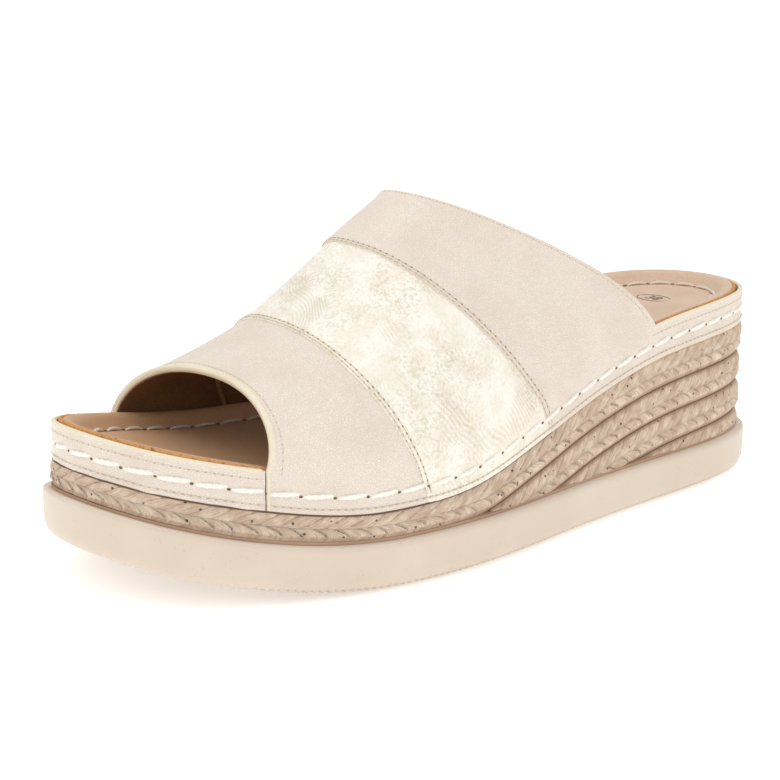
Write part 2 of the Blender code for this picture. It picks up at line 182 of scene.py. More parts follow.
class SoleForm:
    """The sole's outline and the heights of its layers, as the solids have them."""

    length = 0.262
    width = 0.0998
    outsole = 0.0139
    spring = 0.0138
    spring_start = 0.71
    plait_at_ball = 0.0078
    plait_at_heel = 0.0360
    gap = 0.0003
    rand_inset = 0.0030
    rand_height = 0.0109
    per_span = 120

    def __init__(self) -> None:
        """Work out the outline's curve, its length along the edge and its outward directions."""
        shares = np.array(OUTLINE)
        edge = np.column_stack([shares[:, 1] * self.width / 2, (0.5 - shares[:, 0]) * self.length])
        curve = closed_spline(edge, self.per_span)
        low, high = curve.min(0), curve.max(0)
        curve = (curve - (low + high) / 2) * [self.width, self.length] / (high - low)
        curve = np.roll(curve, -int(curve[:, 1].argmax()), 0)
        along = np.roll(curve, -1, 0) - np.roll(curve, 1, 0)
        outward = unit(np.stack([-along[:, 1], along[:, 0]], 1))
        outward *= np.sign((outward * curve).sum())
        steps = np.linalg.norm(np.roll(curve, -1, 0) - curve, axis=1)
        self.run = np.r_[0, np.cumsum(steps)]
        self.round = float(self.run[-1])
        self.curve = np.vstack([curve, curve[:1]])
        self.outward = np.vstack([outward, outward[:1]])
        self.toe = int(self.curve[:, 1].argmin())

    def rim(self, run: Array, inset: Array) -> tuple[Array, Array]:
        """x and y on the outline set in by an amount.

        Args:
            run: Way along the edge from the heel, over the outer side, in metres.
            inset: Amount to go in, in metres.

        Returns:
            The x and the y at each place.
        """
        run = np.mod(run, self.round)
        x, y = (np.interp(run, self.run, self.curve[:, axis]) for axis in (0, 1))
        out_x, out_y = (np.interp(run, self.run, self.outward[:, axis]) for axis in (0, 1))
        scale = np.maximum(np.hypot(out_x, out_y), 1e-9)
        return x - out_x / scale * inset, y - out_y / scale * inset

    def halves(self, inset: float) -> list[tuple[Array, Array, Array]]:
        """Way along the edge, x and y of the outer and of the inner half, each with y rising."""
        x, y = self.curve[:, 0] - self.outward[:, 0] * inset, self.curve[:, 1] - self.outward[:, 1] * inset
        outer, inner = slice(self.toe, None, -1), slice(self.toe, None)
        return [(self.run[part], x[part], y[part]) for part in (outer, inner)]

    def across(self, y: Array, inset: float, side: Side) -> Array:
        """x where a side of the outline, set in, crosses y."""
        _, half_x, half_y = self.halves(inset)[side.value]
        return np.interp(y, half_y, half_x)

    def middle(self, y: Array, inset: float) -> Array:
        """x halfway between the two sides of the outline, set in, at y."""
        return (self.across(y, inset, Side.OUTER) + self.across(y, inset, Side.INNER)) / 2

    def run_at(self, y: float, inset: float, side: Side) -> float:
        """Way along the edge where a side of the outline, set in, crosses y."""
        half_run, _, half_y = self.halves(inset)[side.value]
        return float(np.interp(y, half_y, half_run))

    def share_at(self, y: Array) -> Array:
        """Share of the length from the heel at y."""
        return 0.5 - y / self.length

    def y_at(self, share: Array) -> Array:
        """y at a share of the length from the heel."""
        return (0.5 - share) * self.length

    def ground(self, y: Array) -> Array:
        """Height of the underside: flat, then the toe spring."""
        run = np.clip((self.share_at(y) - self.spring_start) / (1 - self.spring_start), 0, None)
        return self.spring * run ** 2

    def outsole_top(self, y: Array) -> Array:
        """Height of the outsole's upper face."""
        return self.ground(y) + self.outsole

    def wedge_top(self, y: Array) -> Array:
        """Height of the wedge's upper face."""
        rise = smooth_table(WEDGE_RISE, self.share_at(y))
        return self.outsole_top(y) + self.plait_at_ball + (self.plait_at_heel - self.plait_at_ball) * rise

    def rand_foot(self, y: Array) -> Array:
        """Height of the rand's lower edge."""
        return self.wedge_top(y) + self.gap

    def rand_top(self, y: Array) -> Array:
        """Height of the rand's upper edge."""
        return self.rand_foot(y) + self.rand_height

    def rand_face(self, run: Array, rise: Array, lift: Array) -> Array:
        """Points on the rand's outer face.

        Args:
            run: Way along the edge, in metres.
            rise: Height above the rand's lower edge, in metres.
            lift: Amount to stand off the face, in metres.

        Returns:
            The points, x, y and z along the last axis.
        """
        x, y = self.rim(run, self.rand_inset - lift)
        _, face_y = self.rim(run, self.rand_inset)
        return np.stack([x, y, self.rand_foot(face_y) + rise], -1)


class UpperForm:
    """The upper's face from its toe edge to its back edge, over the foot and down both lasted margins."""

    crown_height = 0.0625
    seam_slant = (0.0, 0.004, 0.005, 0.0)
    margin_step = 0.30
    step_grows = 0.14
    near = 0.004

    def __init__(self, sole: SoleForm) -> None:
        """Place the four sections along the upper."""
        self.sole = sole
        feet = [row[0] for row in SECTIONS]
        self.places = tuple((feet[0] - foot) / (feet[0] - feet[-1]) for foot in feet)
        self.length = (feet[0] - feet[-1]) * sole.length

    def value(self, column: int, along: Array) -> Array:
        """A column of the sections at places along the upper."""
        return smooth_table(tuple(zip(self.places, (row[column] for row in SECTIONS))), along)

    def point(self, along: Array, over: Array) -> Array:
        """Points on the face.

        Args:
            along: 0 at the toe edge, 1 at the back edge.
            over: -1 to 0 up the outer margin, 0 to 1 over the foot, 1 to 2 down the inner margin.

        Returns:
            The points, x, y and z along the last axis.
        """
        sole = self.sole
        outer_y, inner_y, crown_y = (sole.y_at(self.value(column, along)) for column in (0, 1, 2))
        slant = smooth_table(tuple(zip(self.places, self.seam_slant)), along)
        down = np.clip(np.maximum(-over, over - 1), 0, 1)
        outer_y, inner_y = outer_y + slant * np.clip(-over, 0, 1), inner_y + slant * np.clip(over - 1, 0, 1)
        outer_x = sole.across(outer_y, sole.rand_inset, Side.OUTER)
        inner_x = sole.across(inner_y, sole.rand_inset, Side.INNER)
        outer = np.stack([outer_x, outer_y, sole.rand_top(outer_y)], -1)
        inner = np.stack([inner_x, inner_y, sole.rand_top(inner_y)], -1)
        crown_x = self.value(3, along) * sole.width / 2
        crown_z = sole.rand_top(crown_y) + self.value(4, along) * self.crown_height
        crown = np.stack([crown_x, crown_y, crown_z], -1)
        under = outer + (inner - outer) * ((outer_x - crown_x) / (outer_x - inner_x))[..., None]
        turn = np.clip(over, 0, 1)
        foot = np.where((turn < 0.5)[..., None], outer, inner)
        spread = np.abs(np.cos(math.pi * turn)) ** self.value(5, along)
        height = np.clip(np.sin(math.pi * turn), 0, None)
        lift, lean = height ** self.value(6, along), height ** self.value(7, along)
        raised = (crown - under) * np.stack([lift, lean, lift], -1)
        face = under + (foot - under) * spread[..., None] + raised
        face[..., 2] -= down * sole.rand_height
        return face

    def normal(self, along: Array, over: Array) -> Array:
        """Outward directions of the face."""
        ends = [self.point(np.clip(along + step, 0, 1), over) for step in (self.near, -self.near)]
        sides = [self.point(along, np.clip(over + step, -1, 2)) for step in (self.near, -self.near)]
        return unit(np.cross(ends[0] - ends[1], sides[0] - sides[1]))

    def face(self, along: Array, over: Array, lift: Array) -> Array:
        """Points that stand off the face by an amount."""
        lift = np.broadcast_to(lift, np.shape(along))
        return self.point(along, over) + self.normal(along, over) * lift[..., None]

    def step_share(self, over: Array) -> Array:
        """Share of a panel's step: little on the lasted margins, whole over the foot."""
        grown = ease(np.minimum(over, 1 - over) / self.step_grows)
        return self.margin_step + (1 - self.margin_step) * grown

    def margin_rise(self, over: Array) -> Array:
        """Height above the rand's lower edge on a margin, more than the rand's over the foot."""
        inside = np.minimum(over, 1 - over)
        return self.sole.rand_height * (1 + np.minimum(inside, 0)) + np.maximum(inside, 0)


# Footbed's edge: way in from the outline, height from the rand's top, share of the rim's crest
FOOTBED_RIM = (
    (0.0055, -0.0009, 0.75), (0.0063, -0.0002, 1.00), (0.0076, 0.0001, 1.00), (0.0094, -0.0005, 0.70),
    (0.0110, -0.0018, 0.20), (0.0122, -0.0024, 0.00), (0.0160, -0.0025, 0.00),
)

SOLE = SoleForm()
UPPER = UpperForm(SOLE)

# The cord sewn round the rand, as a share of its height, and the pitches of cord and fine stitches
CORD_RISE = 0.47
CORD_PITCH = 0.0098
FINE_PITCH = 0.00225

# The furrow that the cord pulls into the rand: its depth and half its width
FURROW_DEPTH = 0.00030
FURROW_WIDTH = 0.0014


def cord_furrow(rise: Array) -> Array:
    """Depth of the cord's furrow at a height above the rand's lower edge."""
    return FURROW_DEPTH * np.exp(-((rise - CORD_RISE * SOLE.rand_height) / FURROW_WIDTH) ** 2)


def full_between(u: Array) -> Array:
    """1 along a closed strip and 0 at its two ends, where it is drawn to a point."""
    return np.where((u < 1e-6) | (u > 1 - 1e-6), 0.0, 1.0)


def deselect() -> None:
    """Leave nothing selected and no object in edit mode."""
    if bpy.context.object and bpy.context.object.mode != "OBJECT":
        bpy.ops.object.mode_set(mode="OBJECT")
    bpy.ops.object.select_all(action="DESELECT")


def take(thing: bpy.types.Object) -> None:
    """Select one object alone and make it the active one."""
    deselect()
    thing.select_set(True)
    bpy.context.view_layer.objects.active = thing


def corners(thing: bpy.types.Object) -> Array:
    """The vertices of an object, one row each."""
    flat = np.empty(len(thing.data.vertices) * 3)
    thing.data.vertices.foreach_get("co", flat)
    return flat.reshape(-1, 3)


def move_corners(thing: bpy.types.Object, points: Array) -> None:
    """Put the vertices of an object at new places."""
    thing.data.vertices.foreach_set("co", np.ascontiguousarray(points, float).ravel())
    thing.data.update()


def set_layer(thing: bpy.types.Object, name: str, values: Array) -> None:
    """Give an object's vertices a named number each, for its material to read."""
    layer = thing.data.attributes.new(name, "FLOAT", "POINT")
    layer.data.foreach_set("value", np.ascontiguousarray(values, np.float32).ravel())


def edit(thing: bpy.types.Object, *steps: Callable[[], object]) -> None:
    """Run edit-mode operators on the whole of an object's mesh."""
    take(thing)
    bpy.ops.object.mode_set(mode="EDIT")
    bpy.ops.mesh.select_all(action="SELECT")
    for step in steps:
        step()
    bpy.ops.object.mode_set(mode="OBJECT")


def close_up(thing: bpy.types.Object, distance: float = 2e-6) -> None:
    """Merge vertices that meet and turn all faces outwards."""
    edit(
        thing,
        lambda: bpy.ops.mesh.remove_doubles(threshold=distance),
        lambda: bpy.ops.mesh.dissolve_degenerate(threshold=distance / 2),
        lambda: bpy.ops.mesh.normals_make_consistent(inside=False),
    )


def apply_modifier(thing: bpy.types.Object, kind: str, **settings: object) -> None:
    """Put a modifier on an object and apply it.

    Args:
        thing: The object.
        kind: The modifier's kind.
        settings: Its settings by name.
    """
    take(thing)
    modifier = thing.modifiers.new(kind.title(), kind)
    for name, value in settings.items():
        setattr(modifier, name, value)
    bpy.ops.object.modifier_apply(modifier=modifier.name)


def smooth(thing: bpy.types.Object, angle: float = 50.0) -> None:
    """Shade an object smooth but for edges sharper than an angle in degrees."""
    take(thing)
    bpy.ops.object.shade_smooth_by_angle(angle=math.radians(angle))


def lay_grid(
    name: str, rows: int, cols: int, place: Place, layers: dict[str, Place] | None = None,
    uv: Callable[[Array, Array], tuple[Array, Array]] | None = None, flip: bool = False,
) -> bpy.types.Object:
    """Add a grid and lay it on a form.

    Args:
        name: The new piece's name.
        rows: Faces across the grid, along v.
        cols: Faces along the grid, along u.
        place: Gives points for u and v from 0 to 1.
        layers: Named numbers for the vertices, from u and v.
        uv: Gives the two texture coordinates from u and v. Without it they are u and v.
        flip: Turns the faces over, for a sheet whose outer side is its lower one.

    Returns:
        The new object.
    """
    deselect()
    bpy.ops.mesh.primitive_grid_add(x_subdivisions=cols, y_subdivisions=rows, size=1.0, calc_uvs=True)
    thing = bpy.context.object
    thing.name = name
    flat = corners(thing)
    col = np.rint((flat[:, 0] + 0.5) * cols).astype(int)
    row = np.rint((flat[:, 1] + 0.5) * rows).astype(int)
    u, v = np.meshgrid(np.linspace(0, 1, cols + 1), np.linspace(0, 1, rows + 1))
    move_corners(thing, place(u, v)[row, col])
    for layer, values in (layers or {}).items():
        set_layer(thing, layer, values(u, v)[row, col])
    if uv:
        first, second = uv(u, v)
        loops = np.empty(len(thing.data.loops), int)
        thing.data.loops.foreach_get("vertex_index", loops)
        pairs = np.stack([first[row, col], second[row, col]], 1)[loops]
        thing.data.uv_layers.active.data.foreach_set("uv", pairs.ravel())
    if flip:
        edit(thing, lambda: bpy.ops.mesh.flip_normals())
    return thing


def thicken(thing: bpy.types.Object, thickness: float) -> None:
    """Give an open sheet a wall of a thickness behind its face."""
    apply_modifier(thing, "SOLIDIFY", thickness=thickness, offset=-1.0)
    smooth(thing, 50)


@dataclass
class Line:
    """A line on the shoe with a frame at each of its points, along which a row is bent."""

    points: Array
    normals: Array

    def __post_init__(self) -> None:
        """Measure the line."""
        steps = np.linalg.norm(np.diff(self.points, axis=0), axis=1)
        self.run = np.r_[0, np.cumsum(steps)]
        self.length = float(self.run[-1])

    def at(self, run: Array) -> tuple[Array, Array, Array]:
        """Point, outward direction and sideways direction at a way along the line."""

        def read(rows: Array) -> Array:
            return np.stack([np.interp(run, self.run, rows[:, axis]) for axis in range(3)], -1)

        point, normal = read(self.points), read(self.normals)
        ahead = unit(read(np.gradient(self.points, self.run, axis=0)))
        normal = unit(normal - ahead * (normal * ahead).sum(-1, keepdims=True))
        return point, normal, np.cross(normal, ahead)

    def bend(self, flat: Array) -> Array:
        """Points of a straight row, x along it, y sideways and z outward, moved onto the line."""
        point, normal, side = self.at(flat[:, 0])
        return point + side * flat[:, 1:2] + normal * flat[:, 2:3]


def rand_line(
    start: float, stop: float, rise: float, lift: Callable[[Array], Array], steps: int = 600
) -> Line:
    """Line along the rand's face.

    Args:
        start: Way along the edge where it starts.
        stop: Way along the edge where it stops.
        rise: Height above the rand's lower edge.
        lift: Gives the amount to stand off the face from the way along the edge.
        steps: Number of stretches.

    Returns:
        The line.
    """
    run = np.linspace(start, stop, steps + 1)
    points = SOLE.rand_face(run, np.full_like(run, rise), lift(run))
    ahead = np.gradient(points, axis=0)
    outward = unit(np.cross(ahead, [0, 0, -1.0]))
    outward *= np.sign((outward * points)[:, :2].sum())
    return Line(points, outward)


def upper_line(along: Array, over: Array, lift: Array) -> Line:
    """Line on the upper's face through given places, standing off by an amount."""
    return Line(UPPER.face(along, over, lift), UPPER.normal(along, over))


@dataclass
class Stitch:
    """One stitch as it lies on the surface, and the way to sew a row of them.

    Attributes:
        pitch: Way from one stitch to the next.
        length: Length of the thread that shows.
        width: Thickness of the thread.
        proud: How far its middle stands off the surface.
        plies: Number of strands that are twisted together, 0 for a smooth thread.
        turns: Turns of the twist over one stitch.
        slant: How far its far end lies to the side.
        sides: Faces round the thread.
        spans: Faces along the thread.
    """

    pitch: float
    length: float
    width: float
    proud: float
    plies: int = 0
    turns: float = 2.0
    slant: float = 0.0
    sides: int = 6
    spans: int = 5

    def thread(self, name: str) -> bpy.types.Object:
        """Model one stitch lying along x from the middle of its own pitch."""

        def place(u: Array, v: Array) -> Array:
            turn = 2 * math.pi * v
            swell = np.clip(np.sin(math.pi * u), 0, None)
            radius = self.width / 2 * (0.35 + 0.65 * swell ** 0.35)
            radius = radius * full_between(u)
            if self.plies:
                twist = np.cos(self.plies / 2 * (turn - 2 * math.pi * self.turns * u))
                radius = radius * (0.86 + 0.24 * np.abs(twist))
            x = (u - 0.5) * self.length
            y = radius * np.cos(turn) + self.slant * (u - 0.5)
            z = radius * np.sin(turn) * 0.85 + self.proud * swell ** 0.6 - self.width * 0.35
            return np.stack([x + self.pitch / 2, y, z], -1)

        thing = lay_grid(name, self.sides, self.spans, place)
        close_up(thing, 1e-7)
        return thing

    def sew(self, name: str, line: Line) -> bpy.types.Object:
        """Repeat the stitch and bend the row along a line, with a whole number of stitches on it."""
        thing = self.thread(name)
        return repeat_along(thing, line, self.pitch)


def repeat_along(thing: bpy.types.Object, line: Line, pitch: float) -> bpy.types.Object:
    """Repeat a model at a pitch and bend the row along a line.

    Args:
        thing: The model, lying along x within one pitch.
        line: The line.
        pitch: The wished way from one copy to the next.

    Returns:
        The same object, now the whole row.
    """
    count = max(1, round(line.length / pitch))
    apply_modifier(
        thing, "ARRAY", count=count, use_relative_offset=False, use_constant_offset=True,
        constant_offset_displace=(pitch, 0, 0), use_merge_vertices=False,
    )
    flat = corners(thing)
    flat[:, 0] *= line.length / (count * pitch)
    move_corners(thing, line.bend(flat))
    smooth(thing, 80)
    return thing


def needle_hole_shades(
    name: str, line: Line, pitch: float, size: tuple[float, float], shift: tuple[float, float]
) -> bpy.types.Object:
    """Row of small dark marks at the ends of the stitches on a line, painted shade of the needle holes.

    Args:
        name: The row's name.
        line: The line.
        pitch: Way from one hole to the next.
        size: Length and height of a hole.
        shift: Its way along and to the side of the stitches' ends.

    Returns:
        The row.
    """
    deselect()
    bpy.ops.mesh.primitive_uv_sphere_add(segments=8, ring_count=4, radius=0.5)
    thing = bpy.context.object
    thing.name = name
    flat = corners(thing) * [size[0], size[1], 0.25 * size[1]]
    flat[:, 0] += pitch + shift[0]
    flat[:, 1] += shift[1]
    move_corners(thing, flat)
    return repeat_along(thing, line, pitch)


@dataclass(frozen=True)
class Tone:
    """A colour given by its screen values, 0 to 255."""

    red: int
    green: int
    blue: int

    def linear(self) -> tuple[float, float, float, float]:
        """The colour as a shader reads it."""
        screen = [channel / 255 for channel in (self.red, self.green, self.blue)]
        light = [c / 12.92 if c <= 0.04045 else ((c + 0.055) / 1.055) ** 2.4 for c in screen]
        return (*light, 1.0)


class Graph:
    """A node tree with short calls that add nodes and join them."""

    def __init__(self, tree: bpy.types.NodeTree) -> None:
        """Take a tree to work on."""
        self.tree = tree

    def add(self, kind: str, values: dict | None = None, **settings: object) -> bpy.types.Node:
        """Add a node.

        Args:
            kind: The node's kind.
            values: Inputs by name or number, each a value, a Tone or a socket to join.
            settings: The node's settings by name.

        Returns:
            The new node.
        """
        node = self.tree.nodes.new(kind)
        for name, value in settings.items():
            setattr(node, name, value)
        for key, value in (values or {}).items():
            socket = node.inputs[key]
            if isinstance(value, bpy.types.NodeSocket):
                self.tree.links.new(value, socket)
            elif isinstance(value, Tone):
                socket.default_value = value.linear()
            else:
                socket.default_value = value
        return node

    def math(
        self, operation: str, first: object, second: object = 0.0, third: object = 0.0
    ) -> bpy.types.NodeSocket:
        """Add a sum, product or the like of up to three numbers."""
        return self.add("ShaderNodeMath", {0: first, 1: second, 2: third}, operation=operation).outputs[0]

    def step(self, value: object, low: float, high: float) -> bpy.types.NodeSocket:
        """Add a soft step that goes from 0 to 1 between two values."""
        inputs = {"Value": value, "From Min": low, "From Max": high}
        node = self.add("ShaderNodeMapRange", inputs, interpolation_type="SMOOTHSTEP")
        return node.outputs["Result"]

    def mix(self, factor: object, first: object, second: object, blend: str = "MIX") -> bpy.types.NodeSocket:
        """Add a mix of two colours."""
        node = self.tree.nodes.new("ShaderNodeMix")
        node.data_type = "RGBA"
        node.blend_type = blend
        for index, value in ((0, factor), (6, first), (7, second)):
            socket = node.inputs[index]
            if isinstance(value, bpy.types.NodeSocket):
                self.tree.links.new(value, socket)
            elif isinstance(value, Tone):
                socket.default_value = value.linear()
            else:
                socket.default_value = value
        return node.outputs[2]

    def noise(
        self, vector: object, scale: object, detail: float = 2.0, rough: float = 0.5
    ) -> bpy.types.NodeSocket:
        """Add soft noise of a scale in waves a metre."""
        values = {"Vector": vector, "Scale": scale, "Detail": detail, "Roughness": rough}
        return self.add("ShaderNodeTexNoise", values).outputs["Fac"]


def make_group(
    name: str, inputs: dict[str, float | None], outputs: tuple[str, ...]
) -> tuple[Graph, dict, dict]:
    """Start a shader node group.

    Args:
        name: The group's name.
        inputs: Named number inputs with their usual values; None stands for a vector input.
        outputs: Names of the number outputs.

    Returns:
        The group's graph, its inputs by name and the sockets that its outputs read.
    """
    tree = bpy.data.node_groups.new(name, "ShaderNodeTree")
    for label, value in inputs.items():
        kind = "NodeSocketVector" if value is None else "NodeSocketFloat"
        socket = tree.interface.new_socket(label, in_out="INPUT", socket_type=kind)
        if value is not None:
            socket.default_value = value
    for label in outputs:
        tree.interface.new_socket(label, in_out="OUTPUT", socket_type="NodeSocketFloat")
    graph = Graph(tree)
    entry = graph.add("NodeGroupInput")
    leave = graph.add("NodeGroupOutput")
    return graph, {s.name: s for s in entry.outputs if s.name}, {s.name: s for s in leave.inputs if s.name}


def leather_group() -> bpy.types.NodeTree:
    """Group that gives leather its pebbled grain, its cloudy tone and its fine creases."""
    graph, given, out = make_group(
        "leather_grain", {"Vector": None, "Pebble": 1500.0, "Cloud": 60.0}, ("Height", "Tone", "Pore")
    )
    warp = graph.noise(given["Vector"], 260.0, 2.0)
    bent = graph.add(
        "ShaderNodeVectorMath", {0: given["Vector"], 1: warp, "Scale": 0.0012}, operation="SCALE"
    )
    shifted = graph.add("ShaderNodeVectorMath", {0: given["Vector"], 1: bent.outputs[0]}, operation="ADD")
    grid = {"Vector": shifted.outputs[0], "Scale": given["Pebble"]}
    cell = graph.add("ShaderNodeTexVoronoi", grid)
    edge = graph.add("ShaderNodeTexVoronoi", grid, feature="DISTANCE_TO_EDGE")
    pebble = graph.step(edge.outputs["Distance"], 0.0, 0.28)
    fine = graph.noise(given["Vector"], 3800.0, 3.0, 0.6)
    crease = graph.noise(given["Vector"], 420.0, 4.0, 0.62)
    height = graph.math("MULTIPLY_ADD", pebble, 0.5, graph.math("MULTIPLY", fine, 0.3))
    height = graph.math("ADD", height, graph.math("MULTIPLY", crease, 0.7))
    cloud = graph.noise(given["Vector"], given["Cloud"], 5.0)
    tone = graph.math("MULTIPLY_ADD", graph.math("SUBTRACT", cell.outputs["Color"], 0.5), 0.12, cloud)
    graph.tree.links.new(height, out["Height"])
    graph.tree.links.new(tone, out["Tone"])
    graph.tree.links.new(graph.math("SUBTRACT", 1.0, pebble), out["Pore"])
    return graph.tree


def speck_group() -> bpy.types.NodeTree:
    """Group that scatters small marks: patches of fine specks and a few bare ones."""
    graph, given, out = make_group(
        "specks", {"Vector": None, "Size": 900.0, "Patch": 70.0, "Amount": 0.5}, ("Mask", "Patch")
    )
    grains = graph.noise(given["Vector"], given["Size"], 3.0)
    where = graph.step(graph.noise(given["Vector"], given["Patch"], 3.0), 0.42, 0.62)
    level = graph.math("MULTIPLY_ADD", where, given["Amount"], grains)
    graph.tree.links.new(graph.step(level, 0.74, 0.92), out["Mask"])
    graph.tree.links.new(where, out["Patch"])
    return graph.tree


class Groups:
    """The shader groups, each built once when it is first asked for."""

    makers = {"leather_grain": leather_group, "specks": speck_group}
    built: dict[str, bpy.types.NodeTree] = {}

    @classmethod
    def place(cls, graph: Graph, name: str, values: dict) -> bpy.types.Node:
        """Put a group in a material with its own values."""
        if name not in cls.built:
            cls.built[name] = cls.makers[name]()
        node = graph.add("ShaderNodeGroup", node_tree=cls.built[name])
        for key, value in values.items():
            if isinstance(value, bpy.types.NodeSocket):
                graph.tree.links.new(value, node.inputs[key])
            else:
                node.inputs[key].default_value = value
        return node


@dataclass(frozen=True)
class Finish:
    """What each finish has: a name, its main colour, its roughness and its gloss settings."""

    name: str
    tone: Tone
    rough: float
    coat: float = 0.0
    sheen: float = 0.0

    def start(self) -> tuple[bpy.types.Material, Graph, bpy.types.Node]:
        """New material with its constant settings on the shader's own sockets."""
        material = bpy.data.materials.new(self.name)
        material.use_nodes = True
        graph = Graph(material.node_tree)
        shader = material.node_tree.nodes["Principled BSDF"]
        shader.inputs["Base Color"].default_value = self.tone.linear()
        shader.inputs["Roughness"].default_value = self.rough
        shader.inputs["Coat Weight"].default_value = self.coat
        shader.inputs["Coat Roughness"].default_value = 0.35
        shader.inputs["Sheen Weight"].default_value = self.sheen
        shader.inputs["Sheen Roughness"].default_value = 0.5
        return material, graph, shader

    def object_vector(self, graph: Graph) -> bpy.types.NodeSocket:
        """The piece's own coordinates."""
        return graph.add("ShaderNodeTexCoord").outputs["Object"]

    def bump(self, graph: Graph, shader: bpy.types.Node, height: object, depth: float) -> None:
        """Raise the surface by a height times a depth in metres."""
        node = graph.add("ShaderNodeBump", {"Height": height, "Distance": depth, "Strength": 1.0})
        graph.tree.links.new(node.outputs["Normal"], shader.inputs["Normal"])


@dataclass(frozen=True)
class Leather(Finish):
    """Grained leather with a cloudy tone, paler or darker patches and a soft shine.

    Attributes:
        other: Colour of its patches.
        pebble: Grain cells a metre.
        depth: Depth of the grain.
        pore: Colour in the grain's valleys.
        toe: Darker, warmer colour toward the toe, where it differs: painted shade with light bounced off the
            brown lining.
    """

    other: Tone = Tone(200, 190, 178)
    pebble: float = 1500.0
    depth: float = 0.00018
    pore: Tone = Tone(204, 188, 168)
    toe: Tone | None = None

    def material(self) -> bpy.types.Material:
        """Build the material."""
        material, graph, shader = self.start()
        vector = self.object_vector(graph)
        grain = Groups.place(graph, "leather_grain", {"Vector": vector, "Pebble": self.pebble})
        colour = graph.mix(graph.step(grain.outputs["Tone"], 0.42, 0.68), self.tone, self.other)
        # Painted shade: the colour turns darker and warmer toward the toe, for shade and light bounced off the
        # lining.
        if self.toe:
            along = graph.add("ShaderNodeSeparateXYZ", {0: vector}).outputs[1]
            colour = graph.mix(graph.step(along, 0.04, -0.07), colour, self.toe)
        colour = graph.mix(graph.math("MULTIPLY", grain.outputs["Pore"], 0.38), colour, self.pore)
        graph.tree.links.new(colour, shader.inputs["Base Color"])
        rough = graph.math("MULTIPLY_ADD", grain.outputs["Tone"], 0.18, self.rough - 0.09)
        graph.tree.links.new(rough, shader.inputs["Roughness"])
        self.bump(graph, shader, grain.outputs["Height"], self.depth)
        return material


@dataclass(frozen=True)
class Distressed(Finish):
    """Foiled leather rubbed back to tan specks, with fine wavy ridges in patches."""

    speck: Tone = Tone(218, 202, 172)
    pale: Tone = Tone(249, 244, 232)

    def material(self) -> bpy.types.Material:
        """Build the material."""
        material, graph, shader = self.start()
        vector = self.object_vector(graph)
        grain = Groups.place(graph, "leather_grain", {"Vector": vector, "Pebble": 1300.0})
        fine = graph.noise(vector, 1050.0, 4.0, 0.72)
        patch = graph.step(graph.noise(vector, 55.0, 4.0, 0.6), 0.38, 0.66)
        colour = graph.mix(graph.step(graph.noise(vector, 150.0, 4.0), 0.40, 0.60), self.tone, self.pale)
        rubbed = graph.math("MULTIPLY_ADD", patch, 0.55, 0.22)
        worn = graph.math("MULTIPLY", graph.step(fine, 0.46, 0.64), rubbed)
        colour = graph.mix(worn, colour, self.speck)
        values = {"Vector": vector, "Scale": 330.0, "Distortion": 26.0, "Detail": 1.0, "Detail Scale": 0.16}
        wave = graph.add("ShaderNodeTexWave", values, bands_direction="DIAGONAL")
        where = graph.step(graph.noise(vector, 45.0, 1.0), 0.49, 0.57)
        ridges = graph.math("MULTIPLY", graph.step(wave.outputs["Fac"], 0.30, 0.85), where)
        colour = graph.mix(graph.math("MULTIPLY", ridges, 0.38), colour, self.speck)
        graph.tree.links.new(colour, shader.inputs["Base Color"])
        level = graph.math("SUBTRACT", grain.outputs["Height"], worn)
        height = graph.math("MULTIPLY_ADD", ridges, -1.1, level)
        self.bump(graph, shader, height, 0.00010)
        return material


